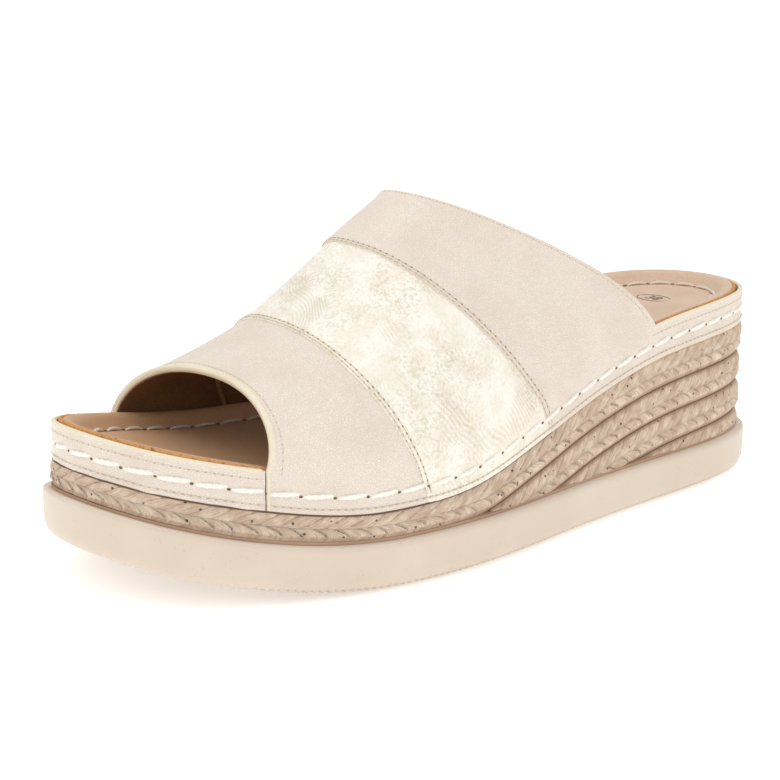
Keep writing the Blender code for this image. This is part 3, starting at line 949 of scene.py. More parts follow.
@dataclass(frozen=True)
class Plaited(Finish):
    """Moulded plait: taupe strands with fibre lines, painted shade in the grooves, a painted shadow along the
    tucked strand edges and small dark dots of painted shade in pinholes.
    """

    light: Tone = Tone(228, 207, 184)
    shade: Tone = Tone(172, 144, 120)
    # Painted shade for the grooves between strands and bands.
    groove_shade: Tone = Tone(164, 133, 109)
    # Painted shadow along the lower strands' tucked edges.
    crease: Tone = Tone(84, 60, 46)
    # Painted shade inside the pinholes.
    hole: Tone = Tone(56, 40, 32)

    def material(self) -> bpy.types.Material:
        """Build the material."""
        material, graph, shader = self.start()
        vector = self.object_vector(graph)
        strand = graph.add("ShaderNodeUVMap").outputs["UV"]
        across = graph.add("ShaderNodeSeparateXYZ", {0: strand}).outputs[0]
        stretched = graph.add("ShaderNodeMapping", {"Vector": strand, "Scale": (2400.0, 300.0, 1.0)})
        fibre = graph.noise(stretched.outputs["Vector"], 1.0, 3.0, 0.6)
        relief = graph.add("ShaderNodeAttribute", attribute_name="relief").outputs["Fac"]
        tuck = graph.add("ShaderNodeAttribute", attribute_name="tuck").outputs["Fac"]
        cloud = graph.noise(vector, 230.0, 4.0, 0.6)
        colour = graph.mix(graph.step(cloud, 0.38, 0.64), self.tone, self.light)
        colour = graph.mix(graph.math("MULTIPLY", graph.step(fibre, 0.47, 0.63), 0.68), colour, self.shade)
        # Painted shade: the colour darkens where the strands' relief is low, in the grooves.
        low = graph.step(relief, 0.50, 0.02)
        colour = graph.mix(graph.math("MULTIPLY", low, 0.85), colour, self.groove_shade)
        # Painted shadow: a dark line along each lower strand's tucked edge, where it overlaps the next.
        line = graph.math("MULTIPLY", graph.step(across, 0.00085, 0.00030), graph.step(tuck, 0.25, 0.60))
        colour = graph.mix(graph.math("MULTIPLY", line, 0.95), colour, self.crease)
        # Painted shade: rare small dark dots for the shade inside pinholes, which also dip the surface.
        cells = graph.add("ShaderNodeTexVoronoi", {"Vector": vector, "Scale": 330.0})
        chance = graph.math("FRACT", graph.math("MULTIPLY", cells.outputs["Color"], 7.0))
        rare = graph.step(chance, 0.30, 0.35)
        dot = graph.math("MULTIPLY", graph.step(cells.outputs["Distance"], 0.15, 0.09), rare)
        colour = graph.mix(graph.math("MULTIPLY", dot, 0.85), colour, self.hole)
        graph.tree.links.new(colour, shader.inputs["Base Color"])
        dips = graph.math("ADD", graph.math("MULTIPLY", line, 0.8), dot)
        self.bump(graph, shader, graph.math("SUBTRACT", fibre, dips), 0.00030)
        return material


@dataclass(frozen=True)
class Rubber(Finish):
    """Smooth moulded rubber with a faint cloud and a satin shine."""

    other: Tone = Tone(226, 208, 186)
    speck: Tone = Tone(196, 172, 146)

    def material(self) -> bpy.types.Material:
        """Build the material."""
        material, graph, shader = self.start()
        vector = self.object_vector(graph)
        cloud = graph.noise(vector, 35.0, 3.0)
        colour = graph.mix(graph.step(cloud, 0.38, 0.66), self.tone, self.other)
        values = {"Vector": vector, "Size": 1500.0, "Patch": 120.0, "Amount": 0.2}
        specks = Groups.place(graph, "specks", values)
        colour = graph.mix(graph.math("MULTIPLY", specks.outputs["Mask"], 0.4), colour, self.speck)
        graph.tree.links.new(colour, shader.inputs["Base Color"])
        self.bump(graph, shader, graph.noise(vector, 1400.0, 3.0), 0.00003)
        return material


@dataclass(frozen=True)
class Cord(Finish):
    """Waxed thread with fine fibres."""

    fibre: Tone = Tone(205, 198, 186)

    def material(self) -> bpy.types.Material:
        """Build the material."""
        material, graph, shader = self.start()
        vector = self.object_vector(graph)
        hair = graph.noise(vector, 2400.0, 3.0, 0.7)
        colour = graph.mix(graph.math("MULTIPLY", graph.step(hair, 0.45, 0.75), 0.5), self.tone, self.fibre)
        graph.tree.links.new(colour, shader.inputs["Base Color"])
        self.bump(graph, shader, hair, 0.00008)
        return material


@dataclass(frozen=True)
class RawEdge(Finish):
    """Cut edge of tan board and glue: speckled and fibrous."""

    dark: Tone = Tone(150, 92, 44)

    def material(self) -> bpy.types.Material:
        """Build the material."""
        material, graph, shader = self.start()
        vector = self.object_vector(graph)
        grain = graph.noise(vector, 900.0, 5.0, 0.7)
        colour = graph.mix(graph.step(grain, 0.50, 0.68), self.tone, self.dark)
        graph.tree.links.new(colour, shader.inputs["Base Color"])
        self.bump(graph, shader, grain, 0.0002)
        return material


class Finishes(Enum):
    """The finishes of this shoe, by the maker's names."""

    BEIGE = Leather("beige_leather", Tone(241, 229, 216), 0.50, 0.06, 0.05, other=Tone(235, 221, 206))
    FOILED = Distressed("foiled_leather", Tone(242, 235, 219), 0.42, 0.10)
    EDGE = Leather(
        "edge_binding", Tone(240, 231, 206), 0.48, 0.08, other=Tone(236, 225, 196), pebble=2200.0,
        depth=0.00004,
    )
    # Its toe colour is painted shade with light bounced off the brown lining.
    TAN = Leather(
        "tan_footbed", Tone(226, 198, 172), 0.52, 0.06, 0.05, other=Tone(220, 190, 162),
        pore=Tone(196, 160, 128), toe=Tone(206, 160, 116),
    )
    LINING = Leather(
        "brown_lining", Tone(136, 98, 60), 0.70, other=Tone(122, 86, 52), pore=Tone(92, 62, 38)
    )
    SEAM = Leather(
        "lining_seam", Tone(186, 146, 104), 0.70, other=Tone(170, 130, 90), pore=Tone(120, 86, 54)
    )
    PLAIT = Plaited("plait", Tone(205, 180, 157), 0.72)
    LEDGE = Rubber("ledge", Tone(190, 158, 134), 0.70, other=Tone(178, 146, 122))
    # Painted shadow: the dark line under the rand round the front.
    UNDER = Cord("under_rand_shadow", Tone(104, 78, 54), 0.80, fibre=Tone(84, 60, 42))
    SEAT = Cord("board_seat", Tone(206, 166, 118), 0.75, fibre=Tone(170, 128, 84))
    RUBBER = Rubber("cream_rubber", Tone(217, 202, 184), 0.38, 0.08, other=Tone(213, 197, 178))
    WHITE_CORD = Cord("white_cord", Tone(247, 244, 235), 0.45, 0.15, fibre=Tone(214, 206, 192))
    GREY_CORD = Cord("grey_cord", Tone(226, 214, 196), 0.60, fibre=Tone(176, 162, 144))
    THREAD = Cord("beige_thread", Tone(226, 211, 188), 0.60, fibre=Tone(206, 188, 162))
    # Painted shade: the dark colours of the needle holes and pricks.
    HOLE = Cord("needle_hole_shade", Tone(116, 94, 62), 0.85, fibre=Tone(90, 70, 46))
    PRICK = Cord("needle_prick_shade", Tone(160, 138, 112), 0.85, fibre=Tone(132, 110, 84))
    SOFT_PRICK = Cord("soft_prick_shade", Tone(196, 178, 158), 0.85, fibre=Tone(176, 156, 134))
    RAW = RawEdge("raw_edge", Tone(208, 152, 88), 0.75)
    MARK = Cord("stamped_mark", Tone(118, 104, 92), 0.70, fibre=Tone(128, 112, 98))

    def material(self) -> bpy.types.Material:
        """This finish's material, built the first time it is asked for."""
        return bpy.data.materials.get(self.value.name) or self.value.material()


@dataclass
class Assembly:
    """What the sub-assemblies share: dressing a piece and keeping a list of those made."""

    made: list[bpy.types.Object] = field(default_factory=list)

    def dress(
        self, thing: bpy.types.Object, finish: Finishes, slot: str, replaces: tuple[str, ...] = ()
    ) -> bpy.types.Object:
        """Give a piece its finish and its body, hide the solids that it stands for and add it to the list of
        those made.

        Args:
            thing: The piece.
            finish: Its finish.
            slot: Not used.
            replaces: Nodes that it replaces.

        Returns:
            The same piece.
        """
        thing.data.materials.clear()
        thing.data.materials.append(finish.material())
        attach(thing, "root")
        if replaces:
            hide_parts(*replaces)
        self.made.append(thing)
        LOG.info("%s: %d faces, %s", thing.name, len(thing.data.polygons), finish.name.lower())
        return thing

    def close(
        self, thing: bpy.types.Object, angle: float, finish: Finishes, slot: str, node: str
    ) -> bpy.types.Object:
        """Close a form laid round a section, shade it smooth and dress it.

        Args:
            thing: The form.
            angle: Angle in degrees from which an edge stays sharp.
            finish: Its finish.
            slot: The record's slot.
            node: The solid that it stands for.

        Returns:
            The same piece.
        """
        close_up(thing)
        smooth(thing, angle)
        return self.dress(thing, finish, slot, (node,))

    def fine_row(
        self, name: str, line: Line, slot: str, node: str, prick_shade: Finishes = Finishes.SOFT_PRICK
    ) -> None:
        """Sew a row of fine machine stitches along a line.

        Args:
            name: The row's name.
            line: The line that it follows.
            slot: The record's slot.
            node: The solid that it stands for.
            prick_shade: Finish of its needle holes, a painted shade.
        """
        stitch = Stitch(FINE_PITCH, 0.0017, 0.00042, 0.00020, sides=6, spans=4)
        self.dress(stitch.sew(name, line), Finishes.THREAD, slot, (node,))
        holes = needle_hole_shades(f"{name}_holes", line, FINE_PITCH, (0.00085, 0.00050), (0.0, 0.0))
        self.dress(holes, prick_shade, slot, (node,))


@dataclass
class Sole(Assembly):
    """Outsole, plaited wedge bands and the ledge between them."""

    columns: int = 1500
    tooth_pitch: float = 0.0023
    tooth_depth: float = 0.0007
    tooth_height: float = 0.0024
    notch: float = 0.0009
    fade_start: float = 0.80
    fade_length: float = 0.18
    side_share: tuple[float, float] = (0.34, 0.80)
    rib_pitch: float = 0.006
    rib_height: float = 0.0008
    pitch: float = 0.0100
    relief: float = 0.0015
    inset: float = 0.0023
    strand_pitch: float = 0.0064
    lean_up: float = 1.00
    lean_down: float = 0.55
    lean_off: float = 0.35
    bulge: float = 0.40
    middle: float = 0.46
    wobbles: tuple[float, float] = (0.031, 0.011)
    lip_start: float = 0.80
    lip_length: float = 0.08
    crease_shadow_fade: float = 0.15
    crease_shadow_end: float = 0.66
    front: float = 0.80
    strand_relief: float = 0.0008
    band_gap: float = 0.0002
    ledge: float = 0.0006
    top_cut: float = 0.35
    back: float = 0.0040

    def build(self) -> None:
        """Build the sole's pieces."""
        self.outsole()
        self.core()
        for band in range(4):
            self.plait(band)

    def side_profile(self, v: Array) -> tuple[Array, Array]:
        """Inset and height of the outsole's side at shares round its section, from the ground up."""
        rows = np.array(OUTSOLE_SIDE)
        run = np.r_[0, np.cumsum(np.linalg.norm(np.diff(rows, axis=0), axis=1))]
        run /= run[-1]
        return np.interp(v, run, rows[:, 0]) * SOLE.outsole, np.interp(v, run, rows[:, 1]) * SOLE.outsole

    def outsole(self) -> None:
        """Cream rubber slab with a serrated ground edge and a ribbed underside."""
        under, over = self.side_share

        def place(u: Array, v: Array) -> Array:
            run = u * SOLE.round
            inset, height = self.side_profile((v - under) / (over - under))
            _, edge_y = SOLE.rim(run, 0)
            fade = 1 - ease((SOLE.share_at(edge_y) - self.fade_start) / self.fade_length)
            wave = 0.5 + 0.5 * np.cos(2 * math.pi * run / self.tooth_pitch)
            low = ease(1 - height / self.tooth_height)
            inset = inset + self.tooth_depth * wave * low * fade
            x, y = SOLE.rim(run, inset)
            inward = np.maximum(np.clip(1 - v / under, 0, 1), np.clip((v - over) / (1 - over), 0, 1))
            x = x + (SOLE.middle(y, 0.004) - x) * inward
            rib = 0.5 + 0.5 * np.cos(2 * math.pi * y / self.rib_pitch)
            tread = np.where(v < under, self.rib_height * ease(rib * 2 - 0.6) * ease(inward * 6 - 0.6), 0)
            notch = self.notch * wave * fade * low * np.where(v < under, 1 - inward, 1)
            return np.stack([x, y, SOLE.ground(y) + height + tread + notch], -1)

        thing = lay_grid("outsole_rubber", 34, self.columns, place)
        self.close(thing, 60, Finishes.RUBBER, "outsole", "outsole")

    def core(self) -> None:
        """Brown body of the wedge behind the plait, which shows as the ledge over the outsole."""
        profile = np.array(CORE_SECTION)
        under, over = profile[1, 0], profile[-2, 0]

        def place(u: Array, v: Array) -> Array:
            run = u * SOLE.round
            back, low, high = (np.interp(v, profile[:, 0], profile[:, column]) for column in (1, 2, 3))
            x, y = SOLE.rim(run, self.inset + 0.0001 + back)
            foot = SOLE.outsole_top(y) + 0.00004
            z = foot + (self.ledge + SOLE.gap) * low + (SOLE.wedge_top(y) - foot) * high
            inward = np.maximum(np.clip(1 - v / under, 0, 1), np.clip((v - over) / (1 - over), 0, 1))
            return np.stack([x + (SOLE.middle(y, 0.006) - x) * inward, y, z], -1)

        thing = lay_grid("wedge_ledge", 20, 360, place)
        self.close(thing, 50, Finishes.LEDGE, "wedge", "wedge")

    def band_runs(self, band: int) -> tuple[float, float]:
        """Way along the edge where a band starts and stops, all round or round the heel alone."""
        if band == 0:
            return 0.0, SOLE.round
        y = np.linspace(-0.06, 0.12, 400)
        deep = SOLE.wedge_top(y) - SOLE.outsole_top(y) - SOLE.gap
        start_y = float(y[np.argmax(deep > band * self.pitch + 0.0004)])
        outer = SOLE.run_at(start_y, self.inset, Side.OUTER)
        inner = SOLE.run_at(start_y, self.inset, Side.INNER)
        return inner - SOLE.round, outer

    def weave(self, run: Array, down: Array, seed: float) -> tuple[Array, Array, Array, Array]:
        """The plait's strands at places on a band.

        Args:
            run: Way along the edge.
            down: Share of the band's height from its top.
            seed: Shifts the small irregularities.

        Returns:
            Height of the strands and strength of the painted shadow in the crease beside them, from 0 to 1,
            and the ways across and along the nearest strand, in metres.
        """
        upper = down < self.middle
        q = np.where(upper, down / self.middle, (down - self.middle) / (1 - self.middle))
        bent = self.lean_down * q + self.bulge * np.sin(math.pi * q) + self.lean_off
        lean = np.where(upper, -self.lean_up * q, bent)
        long_wave, short_wave = self.wobbles
        wobble = 0.13 * ripple(run / long_wave, seed) + 0.07 * ripple(run / short_wave, seed + 3)
        phase = run / self.strand_pitch + lean + wobble
        number = np.floor(phase)
        part = phase - number
        hump = np.where(upper, np.sin(math.pi * part), np.sin(math.pi * part ** 0.6))
        ends = 0.5 + 0.5 * np.clip(np.sin(math.pi * np.clip(q, 0, 1)), 0, None) ** 0.4
        chance = np.sin((number + np.where(upper, 0, 40)) * 12.9898 + seed * 7.1)
        lip = 1 - ease((down - self.lip_start) / self.lip_length)
        height = np.clip(hump, 0, None) ** 0.5 * ends * (0.82 + 0.18 * chance) * lip
        # Strength of the painted shadow in the lower row's creases, fading in below its top and out above its
        # bottom.
        dark = ease(q / self.crease_shadow_fade) * ease((self.crease_shadow_end - q) / self.crease_shadow_fade)
        dark = dark * np.clip(0.85 + 0.5 * chance, 0, 1)
        tuck = np.where(upper, 0, dark)
        return height, tuck, part * self.strand_pitch, down * self.pitch + number * 0.013

    def plait(self, band: int) -> None:
        """One band of the plait: a closed strip with two rows of strands."""
        start, stop = self.band_runs(band)
        length = stop - start
        front = self.front
        table = np.array(PLAIT_BAND)

        def shape(u: Array, v: Array) -> dict[str, Array]:
            run = start + u * length
            face_y = SOLE.rim(run, self.inset)[1]
            total = SOLE.wedge_top(face_y) - SOLE.outsole_top(face_y) - SOLE.gap
            deep = np.clip(total - self.ledge - band * self.pitch, 0.00001, self.pitch - self.band_gap)
            down = np.clip(v / front, 0, 1)
            share = down * deep / self.pitch
            woven = np.clip(down if band == 0 else share, 0, 1)
            height, tuck, across, way = self.weave(run, woven, band * 2.3)
            cut = np.interp(share, table[:, 0], table[:, 1])
            cut = np.where((share < 0.5) & (band == 0), self.top_cut * cut, cut)
            return dict(
                run=run, face_y=face_y, deep=deep, down=down, cut=cut, height=height, tuck=tuck, across=across,
                way=way,
            )

        def place(u: Array, v: Array) -> Array:
            form = shape(u, v)
            deep, cut = form["deep"], form["cut"]
            full = np.clip(deep / (0.25 * self.pitch), 0, 1)
            proud = (form["height"] - 0.75) * self.strand_relief * (1 - 0.6 * cut)
            loop = np.clip((v - front) / (1 - front), 0, 1)
            behind = self.inset + self.relief + self.back * np.sin(math.pi * loop) ** 0.3
            inset = np.where(v > front, behind, self.inset + self.relief * cut - proud * full)
            x, y = SOLE.rim(form["run"], inset)
            top = SOLE.wedge_top(form["face_y"]) - band * self.pitch - self.band_gap / 2
            return np.stack([x, y, top - deep * np.where(v > front, 1 - loop, form["down"])], -1)

        # Strand height, low in the grooves, where the plait's material paints shade.
        def relief(u: Array, v: Array) -> Array:
            form = shape(u, v)
            return np.where(v > front, 0, np.clip((0.35 + 0.65 * form["height"]) * (1 - form["cut"]), 0, 1))

        # Strength of the painted crease shadow, read by the plait's material.
        def tuck(u: Array, v: Array) -> Array:
            return shape(u, v)["tuck"]

        def strand_uv(u: Array, v: Array) -> tuple[Array, Array]:
            form = shape(u, v)
            return form["across"], form["way"]

        cols = max(120, int(length / 0.00050))
        layers = {"relief": relief, "tuck": tuck}
        thing = lay_grid(f"plait_band_{band + 1}", 30, cols, place, layers, strand_uv)
        close_up(thing, 1e-6)
        smooth(thing, 70)
        self.dress(thing, Finishes.PLAIT, "wedge", ("wedge",))


@dataclass
class Footbed(Assembly):
    """Leather footbed with its stitched channel, the raw edge round it and a plain stamped oval."""

    edge: float = 0.0055
    channel: float = 0.0122
    channel_depth: float = 0.0005
    pitch: float = 0.0088
    raw_inset: float = 0.0018
    raw_width: float = 0.0013
    raw_height: float = 0.0020
    raw_drop: float = 0.0009
    mark_depth: float = 0.0033
    number_size: float = 0.0060

    def build(self) -> None:
        """Build the footbed's pieces."""
        self.leather()
        self.raw_edge()
        self.stitches()
        self.mark()

    def crest(self, run: Array) -> Array:
        """How much the rim is raised: little on the outer side, more round toe tip, inner side and heel."""
        share = np.mod(run / SOLE.round, 1)
        return 0.0002 + 0.0011 * (ease((share - 0.36) / 0.10) + 1 - ease((share - 0.025) / 0.035))

    def height(self, run: Array, y: Array, inset: Array, middle: Array) -> Array:
        """Height of the footbed's face: a soft raised rim, the stitched channel and a cupped middle.

        Args:
            run: Way along the edge.
            y: Place along the shoe.
            inset: Way in from the outline.
            middle: 0 at the channel's inner side, 1 on the middle line.

        Returns:
            The height of the face.
        """
        inset = np.clip(inset, FOOTBED_RIM[0][0], FOOTBED_RIM[-1][0])
        face = smooth_table(tuple(row[:2] for row in FOOTBED_RIM), inset)
        face = face + self.crest(run) * smooth_table(tuple(row[::2] for row in FOOTBED_RIM), inset)
        face = face - self.channel_depth * np.exp(-((inset - self.channel) / 0.0009) ** 2)
        return SOLE.rand_top(y) + face - 0.0008 * ease(middle * 1.6)

    def leather(self) -> None:
        """Tan leather face and its upright edge."""
        inner_edge = 0.0160
        under, side, rim = 0.10, 0.16, 0.56
        insets = [inner_edge, self.edge, self.edge, inner_edge, inner_edge]

        def place(u: Array, v: Array) -> Array:
            run = u * SOLE.round
            inset = np.interp(v, [0, under, side, rim, 1], insets)
            x, y = SOLE.rim(run, inset)
            middle = np.clip((v - rim) / (1 - rim), 0, 1)
            below = np.clip(1 - v / under, 0, 1)
            outer = SOLE.across(y, inner_edge, Side.OUTER)
            inner = SOLE.across(y, inner_edge, Side.INNER)
            x = x + ((outer + inner) / 2 - x) * np.maximum(middle, below)
            cup = middle * np.clip((outer - inner) / 0.04, 0, 1)
            foot, face = SOLE.rand_foot(y), self.height(run, y, inset, cup)
            z = foot + (face - foot) * np.clip((v - under) / (side - under), 0, 1)
            return np.stack([x, y, z], -1)

        thing = lay_grid("footbed_leather", 96, 440, place)
        self.close(thing, 60, Finishes.TAN, "insole", "insole")

    def raw_edge(self) -> None:
        """Cut edge of the board that shows as a thin line between the leather and the rand."""

        def place(u: Array, v: Array) -> Array:
            run = u * SOLE.round
            turn = 2 * math.pi * v
            inset = SOLE.rand_inset + self.raw_inset + self.raw_width * (0.5 - 0.5 * np.cos(turn))
            x, y = SOLE.rim(run, inset)
            _, face_y = SOLE.rim(run, SOLE.rand_inset)
            rough = 0.00012 * ripple(run / 0.0021, 1.0) + 0.00010 * ripple(run / 0.0009, 2.0)
            crest = self.crest(run)
            high = self.raw_height / 2 + 0.25 * crest + rough
            z = SOLE.rand_top(face_y) - self.raw_drop + 0.3 * crest + high * np.sin(turn)
            return np.stack([x, y, z], -1)

        thing = lay_grid("raw_edge", 10, 1100, place)
        self.close(thing, 60, Finishes.RAW, "insole", "insole")

    def channel_line(self, lift: float) -> Line:
        """Line along the bottom of the stitched channel."""
        run = np.linspace(0, SOLE.round, 900)
        x, y = SOLE.rim(run, self.channel)
        z = self.height(run, y, np.full_like(run, self.channel), np.zeros_like(run)) + lift
        up = np.zeros((len(run), 3))
        up[:, 2] = 1
        return Line(np.stack([x, y, z], -1), up)

    def stitches(self) -> None:
        """Grey twisted cord in long stitches, with painted shade for the needle holes between them."""
        stitch = Stitch(
            self.pitch, 0.0079, 0.00120, 0.0006, plies=2, turns=3.0, slant=0.0008, sides=12, spans=24
        )
        line = self.channel_line(0.0004)
        self.dress(stitch.sew("footbed_cord", line), Finishes.GREY_CORD, "insole", ("insole",))
        bottom = self.channel_line(0.0002)
        holes = needle_hole_shades("footbed_hole_shades", bottom, self.pitch, (0.0016, 0.0011), (0.0, 0.0))
        self.dress(holes, Finishes.HOLE, "insole", ("insole",))

    def mark(self) -> None:
        """Plain stamped oval ring with a plain size number, in place of any name."""
        centre = Vector((-0.001, 0.096, 0.0))
        half = (0.0040, 0.0066)

        def place(u: Array, v: Array) -> Array:
            turn, section = 2 * math.pi * u, 2 * math.pi * v
            wide = 0.00022 * np.cos(section)
            x = (half[1] + wide) * np.cos(turn)
            y = (half[0] + wide) * np.sin(turn)
            ground = SOLE.rand_top(centre.y + y) - self.mark_depth
            return np.stack([centre.x + x, centre.y + y, ground + 0.00015 * np.sin(section)], -1)

        ring = lay_grid("size_ring", 6, 96, place)
        self.close(ring, 50, Finishes.MARK, "insole", "insole")
        deselect()
        bpy.ops.object.text_add(location=(0, 0, 0))
        text = bpy.context.object
        text.data.body = "38"
        text.data.size = self.number_size
        text.data.align_x = "CENTER"
        text.data.align_y = "CENTER"
        text.data.extrude = 0.00012
        take(text)
        bpy.ops.object.convert(target="MESH")
        number = bpy.context.object
        number.name = "size_number"
        flat = corners(number)
        flat = flat + [centre.x, centre.y, 0]
        flat[:, 2] += SOLE.rand_top(flat[:, 1]) - self.mark_depth
        move_corners(number, flat)
        self.dress(number, Finishes.MARK, "insole", ("insole",))


@dataclass
class Upper(Assembly):
    """Three leather panels over the foot, their bound and stitched edges and the lining."""

    step: float = 0.0006
    tuck: float = 0.0022
    thick: float = 0.0007
    seam_rows: tuple[float, float] = (0.0008, 0.0023)
    margin: float = 0.10
    roll_width: float = 0.0008
    roll_drop: float = 0.0005
    back_width: float = 0.0010
    back_drop: float = 0.0003
    dent_width: float = 0.0005
    dent_depth: float = 0.00012
    binding_height: float = 0.0022
    lining_depth: float = 0.0016
    lining_step: float = 0.0011
    lining_run: float = 0.003
    lining_places: tuple[float, float] = (0.235, 0.300)
    seam_depth: float = 0.0022
    cols: int = 300

    def build(self) -> None:
        """Build the upper's pieces."""
        toe_edge, front, rear, back = UPPER.places
        self.panel("toe_panel", toe_edge, front, 0, Finishes.BEIGE)
        self.panel("mid_panel", front, rear, 1, Finishes.FOILED)
        self.panel("rear_panel", rear, back, 2, Finishes.BEIGE)
        self.binding()
        self.lining()
        self.lining_seams()
        self.edge_rows()

    def over_values(self, u: Array) -> Array:
        """Place over the foot for u from 0 to 1, with the margins given their own share of columns."""
        return np.interp(u, [0, self.margin, 1 - self.margin, 1], [-1, 0, 1, 2])

    def lift(self, along: Array, over: Array, layer: int) -> Array:
        """How far a panel's face stands off the form: its layer, soft swells and the cord's furrow."""
        over = np.asarray(over)
        step = self.step * layer * UPPER.step_share(over)
        swell = 0.00022 * ripple(over * 2.1 + along * 1.3, 1.0) * ease(np.minimum(over, 1 - over) * 8)
        rise = UPPER.margin_rise(over)
        return step + swell - cord_furrow(rise)

    def panel(self, name: str, start: float, stop: float, layer: int, finish: Finishes) -> None:
        """One panel, from its front edge over the foot to where it tucks under the next.

        Args:
            name: The piece's name.
            start: Place of its front edge along the upper.
            stop: Place of the next panel's front edge.
            layer: Its layer, 0 for the lowest.
            finish: Its finish.
        """
        last = stop >= 1
        tuck = 0 if last else self.tuck / UPPER.length

        def place(u: Array, v: Array) -> Array:
            over = self.over_values(u)
            along = start + (stop + tuck - start) * v
            from_front = (along - start) * UPPER.length
            lift = self.lift(along, over, layer)
            roll = np.sqrt(np.clip(1 - (1 - np.clip(from_front / self.roll_width, 0, 1)) ** 2, 0, 1))
            lift = lift - (1 - roll) * self.roll_drop * (layer > 0)
            under = ease((along - stop - 0.0004 / UPPER.length) / (0.0014 / UPPER.length))
            lift = lift - (0 if last else self.step) * under
            arch = ease(np.minimum(over, 1 - over) * 20)
            edge = ease((along - 1 + self.back_width / UPPER.length) / (self.back_width / UPPER.length))
            lift = lift - (self.back_drop * edge * arch if last else 0)
            for row in self.seam_rows:
                dent = np.exp(-((from_front - row) / self.dent_width) ** 2)
                lift = lift - self.dent_depth * dent * (layer > 0)
            return UPPER.face(np.clip(along, 0, 1), over, lift)

        rows = max(40, int((stop + tuck - start) * UPPER.length / 0.0007))
        thing = lay_grid(name, rows, self.cols, place, flip=True)
        thicken(thing, self.thick)
        self.dress(thing, finish, "upper", ("upper",))
        if layer:
            prick_shades = (Finishes.SOFT_PRICK, Finishes.PRICK)
            for number, (row, prick_shade) in enumerate(zip(self.seam_rows, prick_shades)):
                where = start + row / UPPER.length
                self.stitch_row(f"{name}_stitches_{number + 1}", where, layer, -0.80, 1.80, prick_shade)

    def stitch_row(
        self, name: str, along: float, layer: int, first: float, last: float,
        prick_shade: Finishes = Finishes.SOFT_PRICK,
    ) -> None:
        """Row of fine machine stitches across the upper.

        Args:
            name: The row's name.
            along: Its place along the upper.
            layer: The layer of the panel that it lies on.
            first: Place over the foot where it starts.
            last: Place over the foot where it stops.
            prick_shade: Finish of its needle holes, a painted shade.
        """
        over = np.linspace(first, last, 500)
        where = np.full_like(over, along)
        lift = self.lift(along, over, layer) - 0.00002
        self.fine_row(name, upper_line(where, over, lift), "upper", "upper", prick_shade)

    def edge_rows(self) -> None:
        """Stitch rows behind the bound toe edge and in front of the back edge."""
        self.stitch_row("toe_edge_stitches", 0.0038 / UPPER.length, 0, -0.10, 1.10)
        self.stitch_row("back_edge_stitches", 1 - 0.0022 / UPPER.length, 2, 0.02, 0.98)

    def binding(self) -> None:
        """Pale rounded binding along the toe edge."""
        height = self.binding_height

        def place(u: Array, v: Array) -> Array:
            over = -0.98 + 2.96 * u
            length = 0.0011 + 0.0010 * ease(np.minimum(over, 1 - over) / 0.10 + 0.5)
            turn = 2 * math.pi * v
            round_x = np.sign(np.cos(turn)) * np.abs(np.cos(turn)) ** 0.7
            round_z = np.sign(np.sin(turn)) * np.abs(np.sin(turn)) ** 0.7
            full = full_between(u)
            along = (0.5 + 0.5 * round_x) * length / UPPER.length
            base = UPPER.face(0.5 * length / UPPER.length, over, np.zeros_like(over))
            normal = UPPER.normal(np.full_like(over, 0.0), over)
            ahead = unit(UPPER.point(length / UPPER.length, over) - UPPER.point(0 * over, over))
            way = (along * UPPER.length - 0.5 * length) * full
            rise = (-0.35 * height + 0.5 * height * round_z) * full
            return base + ahead * way[..., None] + normal * (rise + 0.0001)[..., None]

        thing = lay_grid("toe_edge_binding", 16, 420, place)
        self.close(thing, 70, Finishes.EDGE, "upper", "upper")

    @staticmethod
    def within(share: Array) -> Array:
        """A share of the upper's length or width that stays just inside its edges."""
        return 0.004 + 0.992 * share

    def lining(self) -> None:
        """Dark lining inside the panels, a step further out inside the rear one."""
        _, _, rear, _ = UPPER.places

        def place(u: Array, v: Array) -> Array:
            along = self.within(v)
            step = ease((along - rear) * UPPER.length / self.lining_run - 0.8)
            return UPPER.face(along, self.within(u), self.lining_step * step - self.lining_depth)

        thing = lay_grid("lining", 90, 120, place, flip=True)
        thicken(thing, 0.0005)
        self.dress(thing, Finishes.LINING, "upper", ("upper",))

    def lining_seams(self) -> None:
        """Two raised lining seams with pale edges that run up the sides behind the toe opening."""
        for number, along in enumerate(self.lining_places):

            def place(u: Array, v: Array, along: float = along) -> Array:
                turn = 2 * math.pi * v
                over = self.within(u)
                full = full_between(u)
                there = np.full_like(over, along)
                ahead = unit(UPPER.point(there + 0.01, over) - UPPER.point(there, over))
                wide, high = 0.0007 * full * np.cos(turn), 0.0005 * full * np.sin(turn)
                base = UPPER.face(there, over, np.full_like(over, -self.seam_depth))
                return base + ahead * wide[..., None] + UPPER.normal(there, over) * high[..., None]

            thing = lay_grid(f"lining_seam_{number + 1}", 8, 160, place)
            self.close(thing, 70, Finishes.SEAM, "upper", "upper")


